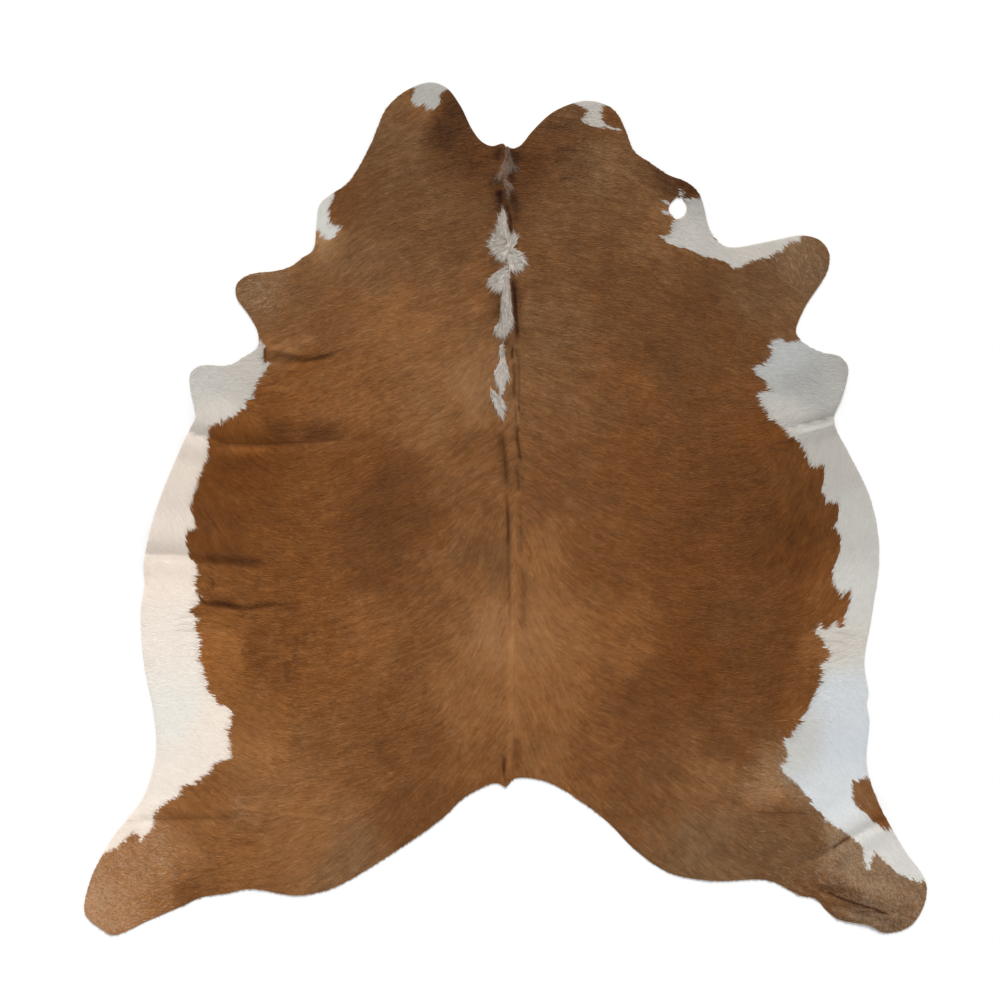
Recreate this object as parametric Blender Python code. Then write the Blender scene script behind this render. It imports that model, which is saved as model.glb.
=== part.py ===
"""Cowhide rug: one whole hide, laid flat with the hair up, as a single closed solid.

Metres, +Z up. Seen from above, +Y points to the neck and +X to the right of the spine. The origin is on the
floor, under the middle of the hide's outline. The tables below are in millimetres, in that same frame.

The hide is one sheet. Its plan is cut to an outline drawn through hand-placed landmarks, with one worn hole
in the right cheek. It lies flat, apart from the creases left by packing, beside which the whole sheet lifts,
and a slight welt along the spine, where the skin itself is thicker. The cut edge thins towards its rim.
"""

import math
from typing import NamedTuple

import bpy
import numpy as np
from mathutils import Vector
from mathutils.geometry import delaunay_2d_cdt

MM = 0.001

SKIN_AND_HAIR = 5.0      # thickness of the skin with its short hair lying on it
RIM_THICKNESS = 2.5      # thickness at the cut edge, where the hair lies off the side
RIM_WIDTH = 9.0          # width over which the edge thins

RIM_STEP = 26.0          # spacing of the points along the cut edge
HOLE_STEP = 12.0         # spacing of the points round the worn hole
FIELD_STEP = 78.0        # spacing of the points on the flat of the hide
CREASE_STEP = 34.0       # spacing of the points along a crease
WELT_STEP = 62.0         # spacing of the points along the spine
LEAST_GAP = 8.0          # points closer than this are thinned out
MERGE_DISTANCE = 1e-4    # points closer than this are one point

CREST_AT = 0.3           # where a swelling beside a crease is highest, in parts of its width
SWELLING_ROWS = (0.12, 0.3, 0.55, 1.0)   # rows of points across a swelling, in parts of its width
WELT_ROWS = (-1.0, -0.5, 0.0, 0.5, 1.0)  # rows of points across the spine welt, in parts of its half width

WELT_RISE = 2.5          # extra thickness of the skin along the spine
WELT_HALF_WIDTH = 16.0
WELT_FADE = 60.0         # length over which the welt dies away at the neck and at the tail

HAIR_BROWN = (0.23, 0.105, 0.045, 1.0)


class Stretch(NamedTuple):
    """A named run of the cut edge, clockwise seen from above: the landmarks it passes through."""

    name: str
    landmarks: tuple


class Crease(NamedTuple):
    """A crease of the laid hide, from left to right. The sheet touches the floor along its line and swells
    beside it, steeply up from the line and slowly down again.
    """

    name: str
    line: tuple
    neck_rise: float      # height of the swelling on the neck side
    neck_width: float     # width of that swelling
    tail_rise: float      # height of the swelling on the tail side
    tail_width: float     # width of that swelling
    left_fade: float      # length over which both die away at the left end, 0 where they meet the rim
    right_fade: float     # the same at the right end


OUTLINE = (
    Stretch("neck notch", ((-35, 943), (-6, 950), (1, 941), (16, 936))),
    Stretch("right neck lobe", ((38, 944), (68, 980), (117, 1027), (162, 1050), (209, 1061), (254, 1053),
                                (287, 1031), (311, 986), (334, 929))),
    Stretch("right cheek", ((368, 905), (420, 870), (474, 848), (503, 819), (514, 788), (529, 728),
                            (552, 694), (584, 680))),
    Stretch("right foreleg", ((662, 691), (716, 702), (766, 711), (815, 700), (840, 668), (837, 621),
                              (774, 518), (754, 457))),
    Stretch("right flap", ((771, 434), (818, 408), (867, 397), (890, 368), (878, 307), (855, 252),
                           (854, 219))),
    Stretch("right belly", ((890, 148), (949, 23), (971, -112), (953, -265), (932, -401), (943, -481),
                            (938, -505), (945, -549), (938, -663))),
    Stretch("right hind leg", ((967, -761), (1037, -886), (1092, -969), (1089, -1025), (1052, -1083),
                               (987, -1102), (945, -1083), (864, -1066), (833, -1043), (805, -1012),
                               (766, -1005), (685, -966), (537, -966), (425, -945), (337, -886),
                               (268, -816), (194, -758), (118, -713))),
    Stretch("tail notch", ((56, -698), (20, -702), (1, -723), (-8, -717), (-30, -712))),
    Stretch("left hind leg", ((-87, -737), (-117, -757), (-151, -792), (-212, -839), (-404, -963),
                              (-472, -993), (-550, -1004), (-662, -987), (-722, -999), (-792, -1010),
                              (-836, -1030), (-924, -1068), (-1020, -1108), (-1046, -1095),
                              (-1093, -1052), (-1078, -962), (-1053, -910), (-1020, -853), (-950, -766))),
    Stretch("left belly", ((-923, -704), (-907, -622), (-915, -519), (-938, -408), (-947, -265),
                           (-937, -193), (-940, -148), (-927, -76), (-898, 26), (-837, 171))),
    Stretch("left flap", ((-820, 206), (-802, 244), (-819, 314), (-818, 353), (-792, 372), (-716, 374),
                          (-675, 398))),
    Stretch("left foreleg", ((-644, 418), (-644, 461), (-670, 509), (-699, 551), (-698, 585), (-662, 610),
                             (-601, 618), (-560, 629), (-524, 655))),
    Stretch("left cheek", ((-499, 674), (-490, 749), (-482, 793), (-452, 819), (-411, 845))),
    Stretch("left neck lobe", ((-386, 880), (-347, 954), (-315, 1032), (-290, 1063), (-248, 1093),
                               (-196, 1109), (-155, 1096), (-118, 1049), (-86, 985), (-61, 954))),
)

WORN_HOLE = ((449, 817), (461, 804), (470, 789), (470, 773), (461, 759), (446, 754), (431, 760), (423, 776),
             (426, 791), (438, 806))

CREASES = (
    Crease("left armpit", ((-659, 385), (-534, 383), (-404, 395)), 7, 75, 0, 0, 45, 110),
    Crease("left flap", ((-857, 205), (-774, 184), (-722, 169), (-547, 173), (-287, 184)),
           10, 130, 6, 87, 0, 240),
    Crease("left flank", ((-966, -117), (-828, -125), (-786, -142), (-573, -143)), 8, 130, 4, 70, 0, 130),
    Crease("left belly", ((-841, -252), (-664, -258), (-488, -247)), 6, 78, 6, 78, 70, 120),
    Crease("left hind leg", ((-942, -809), (-781, -806), (-560, -801)), 4, 70, 2, 60, 0, 170),
    Crease("right flap", ((667, 197), (766, 216), (896, 252)), 7, 105, 5, 60, 90, 0),
    Crease("right rump", ((630, -796), (727, -795), (823, -796)), 4, 70, 2, 50, 70, 60),
    Crease("right hock", ((708, -949), (781, -918), (901, -853), (987, -809)), 8, 104, 4, 60, 100, 0),
    Crease("right toe, upper", ((786, -978), (922, -1022), (1046, -1064)), 6, 70, 5, 40, 50, 40),
    Crease("right toe, lower", ((838, -1035), (942, -1061), (1005, -1087)), 0, 0, 4, 36, 40, 30),
)

SPINE = ((-10, 905), (17, 673), (22, 413), (30, 75), (26, -341), (25, -690))


def smooth_line(landmarks, step, closed):
    """Points about `step` apart on a centripetal Catmull-Rom curve through the landmarks.

    An open line gets a mirrored landmark beyond each end, so that it starts and stops at its own ends.
    """
    knots = np.array(landmarks, dtype=float)
    if closed:
        around = np.vstack([knots[-1:], knots, knots[:2]])
    else:
        around = np.vstack([2 * knots[0] - knots[1], knots, 2 * knots[-1] - knots[-2]])
    runs = []
    for before, start, end, after in zip(around, around[1:], around[2:], around[3:]):
        spans = [math.sqrt(math.dist(a, b)) for a, b in ((before, start), (start, end), (end, after))]
        t0, t1, t2, t3 = 0.0, spans[0], spans[0] + spans[1], sum(spans)
        count = max(2, math.ceil(math.dist(start, end) / step))
        t = np.linspace(t1, t2, count, endpoint=False)[:, None]
        a1 = before + (start - before) * (t - t0) / (t1 - t0)
        a2 = start + (end - start) * (t - t1) / (t2 - t1)
        a3 = end + (after - end) * (t - t2) / (t3 - t2)
        b1 = a1 + (a2 - a1) * (t - t0) / (t2 - t0)
        b2 = a2 + (a3 - a2) * (t - t1) / (t3 - t1)
        runs.append(b1 + (b2 - b1) * (t - t1) / (t2 - t1))
    if not closed:
        runs.append(knots[-1:])
    return np.vstack(runs)


def nearest_on_line(points, line, closed):
    """For each point: its distance to the line, the side it is on (+1 left, -1 right) and the length along."""
    ends = np.roll(line, -1, axis=0) if closed else line[1:]
    starts = line if closed else line[:-1]
    runs = ends - starts
    lengths = np.hypot(runs[:, 0], runs[:, 1])
    offset = points[:, None, :] - starts[None, :, :]
    share = np.clip((offset * runs).sum(axis=2) / lengths**2, 0.0, 1.0)
    gap = offset - share[:, :, None] * runs
    distance = np.hypot(gap[:, :, 0], gap[:, :, 1])
    pick = distance.argmin(axis=1)
    row = np.arange(len(points))
    cross = runs[pick, 0] * offset[row, pick, 1] - runs[pick, 1] * offset[row, pick, 0]
    travelled = np.concatenate([[0.0], np.cumsum(lengths)])[pick] + share[row, pick] * lengths[pick]
    return distance[row, pick], np.where(cross < 0.0, -1.0, 1.0), travelled


def inside(points, loop):
    """Whether each point lies within the closed loop, by counting the edges crossed by a ray along +X."""
    x, y = points[:, :1], points[:, 1:]
    x1, y1 = loop[:, 0], loop[:, 1]
    x2, y2 = np.roll(x1, -1), np.roll(y1, -1)
    straddles = (y1 > y) != (y2 > y)
    rise = np.where(y2 == y1, 1.0, y2 - y1)
    crossing = x1 + (y - y1) * (x2 - x1) / rise
    return (straddles & (x < crossing)).sum(axis=1) % 2 == 1


def outline_loop():
    """The cut edge, clockwise as drawn."""
    landmarks = [mark for stretch in OUTLINE for mark in stretch.landmarks]
    return smooth_line(landmarks, RIM_STEP, closed=True)


def hole_loop():
    """The edge of the worn hole."""
    return smooth_line(WORN_HOLE, HOLE_STEP, closed=True)


def line_length(line):
    """Length of a line of points."""
    return np.hypot(*np.diff(line, axis=0).T).sum()


def faded(along, total, start_fade, end_fade):
    """1 along the middle of a line, easing to 0 over the given lengths at its ends."""
    start = np.clip(along / start_fade, 0.0, 1.0) if start_fade else 1.0
    end = np.clip((total - along) / end_fade, 0.0, 1.0) if end_fade else 1.0
    share = np.minimum(start, end)
    return share * share * (3.0 - 2.0 * share)


def swelling(distance, rise, width):
    """Height beside a crease: a quarter sine up to the crest, then half a cosine wave down to the floor."""
    if rise == 0:
        return np.zeros(len(distance))
    part = np.clip(distance / width, 0.0, 1.0)
    up = np.sin(math.pi / 2 * part / CREST_AT)
    down = 0.5 + 0.5 * np.cos(math.pi * (part - CREST_AT) / (1.0 - CREST_AT))
    return rise * np.where(part < CREST_AT, up, down)


def underside_height(points):
    """Height of the skin's underside above the floor: 0 where it lies, more beside the creases."""
    height = np.zeros(len(points))
    for crease in CREASES:
        line = smooth_line(crease.line, CREASE_STEP / 2, closed=False)
        distance, side, along = nearest_on_line(points, line, closed=False)
        neck = swelling(distance, crease.neck_rise, crease.neck_width)
        tail = swelling(distance, crease.tail_rise, crease.tail_width)
        fade = faded(along, line_length(line), crease.left_fade, crease.right_fade)
        height += np.where(side > 0.0, neck, tail) * fade
    return height


def thickness(points, edges):
    """Thickness of the sheet: full on the field, a little more at the spine, thin at the cut edges."""
    spine = smooth_line(SPINE, WELT_STEP / 2, closed=False)
    distance, _, along = nearest_on_line(points, spine, closed=False)
    bell = 0.5 + 0.5 * np.cos(math.pi * np.clip(distance / WELT_HALF_WIDTH, 0.0, 1.0))
    body = SKIN_AND_HAIR + WELT_RISE * bell * faded(along, line_length(spine), WELT_FADE, WELT_FADE)
    to_edge = np.minimum.reduce([nearest_on_line(points, edge, closed=True)[0] for edge in edges])
    share = np.clip(to_edge / RIM_WIDTH, 0.0, 1.0)
    return RIM_THICKNESS + (body - RIM_THICKNESS) * np.sin(share * math.pi / 2)


def rows_beside(line, offsets):
    """Rows of points along a line, each one at its own offset to the line's left."""
    heading = np.gradient(line, axis=0)
    heading /= np.hypot(heading[:, 0], heading[:, 1])[:, None]
    to_left = np.column_stack([-heading[:, 1], heading[:, 0]])
    return np.vstack([line + offset * to_left for offset in offsets])


def relief_points():
    """Points in rows along the creases and the spine, close together where the hide bends."""
    offsets = [part * WELT_HALF_WIDTH for part in WELT_ROWS]
    rows = [rows_beside(smooth_line(SPINE, WELT_STEP, closed=False), offsets)]
    for crease in CREASES:
        offsets = [0.0]
        offsets += [part * crease.neck_width for part in SWELLING_ROWS if crease.neck_rise]
        offsets += [-part * crease.tail_width for part in SWELLING_ROWS if crease.tail_rise]
        rows.append(rows_beside(smooth_line(crease.line, CREASE_STEP, closed=False), offsets))
    return np.vstack(rows)


def field_points():
    """Points over the outline's box in staggered rows, FIELD_STEP apart."""
    landmarks = np.array([mark for stretch in OUTLINE for mark in stretch.landmarks], dtype=float)
    low, high = landmarks.min(axis=0), landmarks.max(axis=0)
    rows = np.arange(low[1], high[1], FIELD_STEP * math.sqrt(0.75))
    columns = np.arange(low[0], high[0], FIELD_STEP)
    return np.vstack([np.column_stack([columns + (row % 2) * FIELD_STEP / 2, np.full(len(columns), y)])
                      for row, y in enumerate(rows)])


def thinned(points, kept, gap):
    """The points that stay `gap` or more from each other and from those already kept."""
    chosen = [tuple(point) for point in kept]
    fresh = []
    for point in points:
        taken = np.array(chosen)
        if len(taken) == 0 or np.hypot(*(taken - point).T).min() >= gap:
            chosen.append(tuple(point))
            fresh.append(tuple(point))
    return np.array(fresh)


def inner_rim(edge, edges, material_side):
    """The line RIM_WIDTH in from a cut edge, without the points that a tight bend would push back."""
    heading = np.roll(edge, -1, axis=0) - np.roll(edge, 1, axis=0)
    heading /= np.hypot(heading[:, 0], heading[:, 1])[:, None]
    normal = np.column_stack([-heading[:, 1], heading[:, 0]]) * material_side
    line = edge + RIM_WIDTH * normal
    clear = np.minimum.reduce([nearest_on_line(line, other, closed=True)[0] for other in edges])
    return line[clear > 0.9 * RIM_WIDTH]


def plan_triangles(edges):
    """The hide's plan as triangles between its edges: points in millimetres, and counter-clockwise triples."""
    outline, hole = edges
    rims = [inner_rim(outline, edges, -1.0), inner_rim(hole, edges, -1.0)]
    loops = [outline, hole, *rims]
    relief, field = relief_points(), field_points()
    points = np.vstack([relief, field])
    room = np.minimum.reduce([nearest_on_line(points, edge, closed=True)[0] for edge in edges])
    keep = inside(points, outline) & ~inside(points, hole) & (room > RIM_WIDTH + LEAST_GAP)
    on_relief = thinned(relief[keep[:len(relief)]], [], LEAST_GAP)
    on_field = thinned(field[keep[len(relief):]], on_relief, FIELD_STEP / 2)
    coordinates = np.vstack([*loops, on_relief, on_field])
    borders = []
    first = 0
    for loop in loops:
        count = len(loop)
        borders += [(first + i, first + (i + 1) % count) for i in range(count)]
        first += count
    points = [Vector(point) for point in coordinates]
    flat, _, triangles, *_ = delaunay_2d_cdt(points, borders, [], 0, MERGE_DISTANCE)
    plan = np.array([tuple(point) for point in flat])
    triangles = np.array([tuple(triangle) for triangle in triangles])
    centres = plan[triangles].mean(axis=1)
    wanted = inside(centres, outline) & ~inside(centres, hole)
    return plan, triangles[wanted]


def closed_sheet(plan, triangles, low, high):
    """A closed mesh between an upper and a lower surface on the same plan, joined by walls at the edges."""
    used, compact = np.unique(triangles, return_inverse=True)
    triangles = compact.reshape(-1, 3)
    count = len(used)
    vertices = np.vstack([np.column_stack([plan[used], high[used]]), np.column_stack([plan[used], low[used]])])
    sides = {(a, b) for triangle in triangles.tolist() for a, b in zip(triangle, triangle[1:] + triangle[:1])}
    rim = sorted(side for side in sides if side[::-1] not in sides)
    walls = [(a + count, b + count, b, a) for a, b in rim]
    faces = triangles.tolist() + (triangles[:, ::-1] + count).tolist() + walls
    return (vertices * MM).tolist(), faces


def hair_material():
    """Brown hair, matt with a slight sheen."""
    material = bpy.data.materials.new("hide_hair")
    material.use_nodes = True
    shader = material.node_tree.nodes["Principled BSDF"]
    shader.inputs["Base Color"].default_value = HAIR_BROWN
    shader.inputs["Roughness"].default_value = 0.72
    shader.inputs["Metallic"].default_value = 0.0
    return material


def build_hide():
    """The hide as one object with its origin at the world's, lying on z = 0."""
    edges = (outline_loop(), hole_loop())
    plan, triangles = plan_triangles(edges)
    low = underside_height(plan)
    high = low + thickness(plan, edges)
    middle = (plan.min(axis=0) + plan.max(axis=0)) / 2
    vertices, faces = closed_sheet(plan - middle, triangles, low, high)
    mesh = bpy.data.meshes.new("hide")
    mesh.from_pydata(vertices, [], faces)
    mesh.validate()
    mesh.materials.append(hair_material())
    mesh.shade_smooth()
    mesh.set_sharp_from_angle(angle=math.radians(40))
    hide = bpy.data.objects.new("hide", mesh)
    bpy.context.scene.collection.objects.link(hide)
    return hide


def main():
    for thing in list(bpy.data.objects):
        bpy.data.objects.remove(thing)
    build_hide()


main()
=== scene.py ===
"""Cowhide rug: the looks of one whole hide, laid flat with its hair up.

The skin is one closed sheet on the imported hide, with its creases, its worn hole and its cut edge. The short
coat lies on it in locks: flat tapered blades that follow the lay of the hair. A lock is brown or white by
the patch that its middle lies on. Below, lengths are millimetres in the frame's own axes: +Y to the neck,
+X to the right of the spine.
"""

import logging
import math
from dataclasses import dataclass, field
from enum import Enum
from typing import Callable, NamedTuple

import bpy
import numpy as np
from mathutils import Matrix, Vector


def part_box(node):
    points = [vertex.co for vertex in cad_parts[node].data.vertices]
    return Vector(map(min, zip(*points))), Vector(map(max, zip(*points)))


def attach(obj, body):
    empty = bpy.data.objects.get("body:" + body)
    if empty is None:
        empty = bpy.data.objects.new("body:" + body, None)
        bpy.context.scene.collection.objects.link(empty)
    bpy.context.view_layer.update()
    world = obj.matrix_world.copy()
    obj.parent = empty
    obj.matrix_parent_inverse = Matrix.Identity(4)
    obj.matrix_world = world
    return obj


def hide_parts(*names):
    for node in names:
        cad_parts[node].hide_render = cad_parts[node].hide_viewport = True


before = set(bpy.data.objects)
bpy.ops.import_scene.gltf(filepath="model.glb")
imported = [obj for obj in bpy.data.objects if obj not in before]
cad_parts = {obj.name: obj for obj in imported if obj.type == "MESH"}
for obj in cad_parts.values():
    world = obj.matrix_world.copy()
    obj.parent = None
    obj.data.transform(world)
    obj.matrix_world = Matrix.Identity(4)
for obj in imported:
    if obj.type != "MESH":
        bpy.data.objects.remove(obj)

Array = np.ndarray
Feed = float | tuple | bpy.types.NodeSocket  # what a node's input can be given
log = logging.getLogger("cowhide_rug")

MM = 0.001
HIDE_NODE = "hide"
BODY = "root"
BAKE_MAP = "OFBake"
SEED = 41


class Stretch(NamedTuple):
    """A named run of the cut edge, clockwise seen from above: the landmarks it passes through."""

    name: str
    landmarks: tuple


class Crease(NamedTuple):
    """A crease of the laid hide, from left to right, with the swelling on each side of it."""

    name: str
    line: tuple
    neck_rise: float
    neck_width: float
    tail_rise: float
    tail_width: float
    left_fade: float
    right_fade: float


class Colouring(Enum):
    """The two colours that a patch of the coat can have."""

    WHITE = 1.0
    BROWN = 0.0


class Patch(NamedTuple):
    """A patch of the coat: its border, closed off outside the hide where it runs to the cut edge."""

    name: str
    colouring: Colouring
    border: tuple


class Tuft(NamedTuple):
    """A burst of long pale hair on the spine: the point that its hair turns away from, and its border."""

    name: str
    whorl: tuple
    brightness: float
    tan: float  # share of brown in its hair
    border: tuple


class Place(NamedTuple):
    """A spot of the coat: where it is, the way its hair lies, and its look."""

    name: str
    x: float
    y: float
    lay: float  # degrees, 0 to the right and 90 to the neck
    tone: float  # 0 darkest, 1 palest; partly painted light, paler to the lower left and darker to the top right
    warmth: float  # 0 greyish, 1 rust on brown hair or cream on white
    frost: float = 0.0  # share of pale hairs among the brown


class Stroke(NamedTuple):
    """A line of painted shade in the coat, or of painted light where the shade is negative; a few are the
    coat's own marks.
    """

    name: str
    line: tuple
    half_width: float
    shade: float


OUTLINE = tuple(Stretch(*row) for row in (
    ("neck notch", ((-35, 943), (-6, 950), (1, 941), (16, 936))),
    ("right neck lobe",
     ((38, 944), (68, 980), (117, 1027), (162, 1050), (209, 1061), (254, 1053), (287, 1031), (311, 986),
      (334, 929))),
    ("right cheek",
     ((368, 905), (420, 870), (474, 848), (503, 819), (514, 788), (529, 728), (552, 694), (584, 680))),
    ("right foreleg",
     ((662, 691), (716, 702), (766, 711), (815, 700), (840, 668), (837, 621), (774, 518), (754, 457))),
    ("right flap", ((771, 434), (818, 408), (867, 397), (890, 368), (878, 307), (855, 252), (854, 219))),
    ("right belly",
     ((890, 148), (949, 23), (971, -112), (953, -265), (932, -401), (943, -481), (938, -505), (945, -549),
      (938, -663))),
    ("right hind leg",
     ((967, -761), (1037, -886), (1092, -969), (1089, -1025), (1052, -1083), (987, -1102), (945, -1083),
      (864, -1066), (833, -1043), (805, -1012), (766, -1005), (685, -966), (537, -966), (425, -945),
      (337, -886), (268, -816), (194, -758), (118, -713))),
    ("tail notch", ((56, -698), (20, -702), (1, -723), (-8, -717), (-30, -712))),
    ("left hind leg",
     ((-87, -737), (-117, -757), (-151, -792), (-212, -839), (-404, -963), (-472, -993), (-550, -1004),
      (-662, -987), (-722, -999), (-792, -1010), (-836, -1030), (-924, -1068), (-1020, -1108),
      (-1046, -1095), (-1093, -1052), (-1078, -962), (-1053, -910), (-1020, -853), (-950, -766))),
    ("left belly",
     ((-923, -704), (-907, -622), (-915, -519), (-938, -408), (-947, -265), (-937, -193), (-940, -148),
      (-927, -76), (-898, 26), (-837, 171))),
    ("left flap",
     ((-820, 206), (-802, 244), (-819, 314), (-818, 353), (-792, 372), (-716, 374), (-675, 398))),
    ("left foreleg",
     ((-644, 418), (-644, 461), (-670, 509), (-699, 551), (-698, 585), (-662, 610), (-601, 618), (-560, 629),
      (-524, 655))),
    ("left cheek", ((-499, 674), (-490, 749), (-482, 793), (-452, 819), (-411, 845))),
    ("left neck lobe",
     ((-386, 880), (-347, 954), (-315, 1032), (-290, 1063), (-248, 1093), (-196, 1109), (-155, 1096),
      (-118, 1049), (-86, 985), (-61, 954))),
))

WORN_HOLE = ((449, 817), (461, 804), (470, 789), (470, 773), (461, 759), (446, 754), (431, 760), (423, 776),
             (426, 791), (438, 806))

CREASES = (
    Crease("left armpit", ((-659, 385), (-534, 383), (-404, 395)), 7, 75, 0, 0, 45, 110),
    Crease("left flap", ((-857, 205), (-774, 184), (-722, 169), (-547, 173), (-287, 184)),
           10, 130, 6, 87, 0, 240),
    Crease("left flank", ((-966, -117), (-828, -125), (-786, -142), (-573, -143)), 8, 130, 4, 70, 0, 130),
    Crease("left belly", ((-841, -252), (-664, -258), (-488, -247)), 6, 78, 6, 78, 70, 120),
    Crease("left hind leg", ((-942, -809), (-781, -806), (-560, -801)), 4, 70, 2, 60, 0, 170),
    Crease("right flap", ((667, 197), (766, 216), (896, 252)), 7, 105, 5, 60, 90, 0),
    Crease("right rump", ((630, -796), (727, -795), (823, -796)), 4, 70, 2, 50, 70, 60),
    Crease("right hock", ((708, -949), (781, -918), (901, -853), (987, -809)), 8, 104, 4, 60, 100, 0),
    Crease("right toe, upper", ((786, -978), (922, -1022), (1046, -1064)), 6, 70, 5, 40, 50, 40),
    Crease("right toe, lower", ((838, -1035), (942, -1061), (1005, -1087)), 0, 0, 4, 36, 40, 30),
)

SPINE = ((-10, 905), (17, 673), (22, 413), (30, 75), (26, -341), (25, -690))

PATCHES = tuple(Patch(*row) for row in (
    ("left lobe tip", Colouring.WHITE,
     ((-240, 1104), (-238, 1094), (-235, 1086), (-240, 1078), (-243, 1068), (-240, 1057), (-238, 1050),
      (-230, 1047), (-225, 1050), (-217, 1052), (-209, 1052), (-204, 1047), (-201, 1039), (-194, 1037),
      (-183, 1039), (-178, 1044), (-170, 1050), (-168, 1060), (-168, 1070), (-165, 1078), (-160, 1086),
      (-152, 1091), (-144, 1115), (-196, 1130), (-243, 1115))),
    ("left cheek", Colouring.WHITE,
     ((-467, 834), (-446, 822), (-451, 809), (-452, 796), (-460, 782), (-456, 773), (-460, 759), (-456, 742),
      (-441, 735), (-425, 727), (-439, 716), (-447, 700), (-461, 702), (-477, 706), (-487, 721), (-521, 730),
      (-521, 829))),
    ("left side", Colouring.WHITE,
     ((-637, 442), (-630, 427), (-628, 406), (-625, 381), (-616, 376), (-620, 362), (-640, 338), (-650, 314),
      (-659, 289), (-675, 277), (-675, 258), (-691, 253), (-708, 237), (-735, 227), (-764, 210), (-772, 202),
      (-775, 179), (-770, 161), (-774, 132), (-786, 108), (-796, 79), (-803, 50), (-815, 23), (-818, 1),
      (-808, -28), (-808, -52), (-825, -57), (-830, -76), (-825, -106), (-818, -132), (-803, -145),
      (-803, -169), (-808, -201), (-801, -215), (-792, -230), (-801, -245), (-812, -258), (-819, -271),
      (-804, -279), (-798, -290), (-806, -306), (-809, -314), (-795, -324), (-793, -334), (-796, -363),
      (-794, -394), (-786, -421), (-778, -447), (-771, -476), (-756, -495), (-744, -512), (-729, -510),
      (-710, -529), (-711, -549), (-722, -583), (-714, -602), (-715, -636), (-712, -646), (-744, -658),
      (-759, -665), (-771, -685), (-792, -704), (-821, -716), (-839, -726), (-851, -750), (-872, -755),
      (-899, -779), (-914, -794), (-916, -821), (-923, -835), (-943, -859), (-950, -867), (-953, -845),
      (-965, -837), (-982, -854), (-1011, -879), (-1040, -898), (-1158, -898), (-1158, 465), (-664, 444))),
    ("right lobe", Colouring.WHITE,
     ((170, 1055), (186, 1050), (196, 1044), (207, 1039), (215, 1031), (209, 1024), (202, 1018), (196, 1011),
      (202, 1005), (212, 1003), (222, 998), (235, 992), (248, 990), (264, 990), (280, 985), (295, 977),
      (303, 982), (290, 987), (274, 992), (261, 998), (251, 1005), (248, 1018), (248, 1031), (254, 1042),
      (256, 1055), (254, 1073), (173, 1073))),
    ("right cheek", Colouring.WHITE,
     ((508, 810), (495, 805), (485, 808), (475, 805), (464, 800), (454, 792), (446, 782), (443, 769),
      (441, 756), (438, 748), (433, 738), (430, 725), (425, 714), (415, 709), (399, 706), (410, 699),
      (425, 688), (446, 683), (464, 678), (480, 673), (493, 667), (506, 660), (514, 657), (524, 652),
      (542, 654), (563, 644), (579, 634), (592, 626), (612, 628), (631, 641), (649, 647), (675, 652),
      (701, 662), (719, 670), (729, 683), (748, 691), (766, 699), (774, 719), (688, 730), (597, 719),
      (547, 699), (527, 745), (519, 813))),
    ("right side", Colouring.WHITE,
     ((764, 438), (728, 435), (716, 442), (694, 437), (687, 423), (691, 403), (682, 384), (662, 374),
      (652, 379), (645, 365), (657, 345), (674, 330), (691, 301), (672, 306), (650, 299), (657, 282),
      (672, 258), (688, 233), (714, 216), (731, 197), (755, 180), (764, 170), (776, 149), (790, 121),
      (802, 106), (828, 106), (828, 70), (822, 47), (831, 17), (866, 17), (866, -24), (852, -48), (872, -71),
      (871, -106), (860, -133), (849, -165), (852, -188), (862, -209), (872, -232), (880, -227), (880, -204),
      (885, -224), (896, -211), (896, -230), (891, -256), (883, -276), (878, -295), (875, -313), (865, -305),
      (854, -289), (846, -305), (836, -315), (823, -308), (815, -297), (810, -310), (802, -315), (810, -326),
      (823, -339), (831, -349), (831, -362), (844, -373), (846, -391), (833, -396), (823, -406), (823, -427),
      (820, -451), (810, -469), (800, -490), (792, -508), (784, -529), (774, -536), (766, -560), (753, -578),
      (741, -595), (720, -603), (728, -622), (734, -641), (730, -658), (713, -664), (719, -683), (741, -702),
      (759, -717), (774, -737), (789, -751), (804, -778), (821, -794), (835, -809), (858, -828), (877, -839),
      (898, -851), (923, -874), (930, -895), (935, -919), (940, -942), (950, -932), (950, -911), (961, -890),
      (983, -915), (1002, -934), (1018, -950), (1033, -950), (1052, -963), (1064, -969), (1090, -967),
      (1182, -965), (1182, 465), (768, 446))),
    ("brown island", Colouring.BROWN,
     ((898, -702), (911, -710), (923, -700), (937, -700), (956, -695), (989, -757), (1018, -830),
      (1000, -830), (983, -834), (961, -818), (942, -797), (919, -782), (903, -759), (902, -737),
      (903, -717))),
    ("cheek spike above the hole", Colouring.WHITE,
     ((454, 829), (459, 829), (462, 816), (462, 803), (454, 803), (451, 816))),
    ("cheek spike left of the hole", Colouring.WHITE,
     ((407, 803), (420, 800), (430, 792), (428, 784), (415, 792))),
    ("cheek spike left of the hole, low", Colouring.WHITE,
     ((404, 777), (417, 777), (428, 769), (425, 761), (412, 766))),
))

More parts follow.
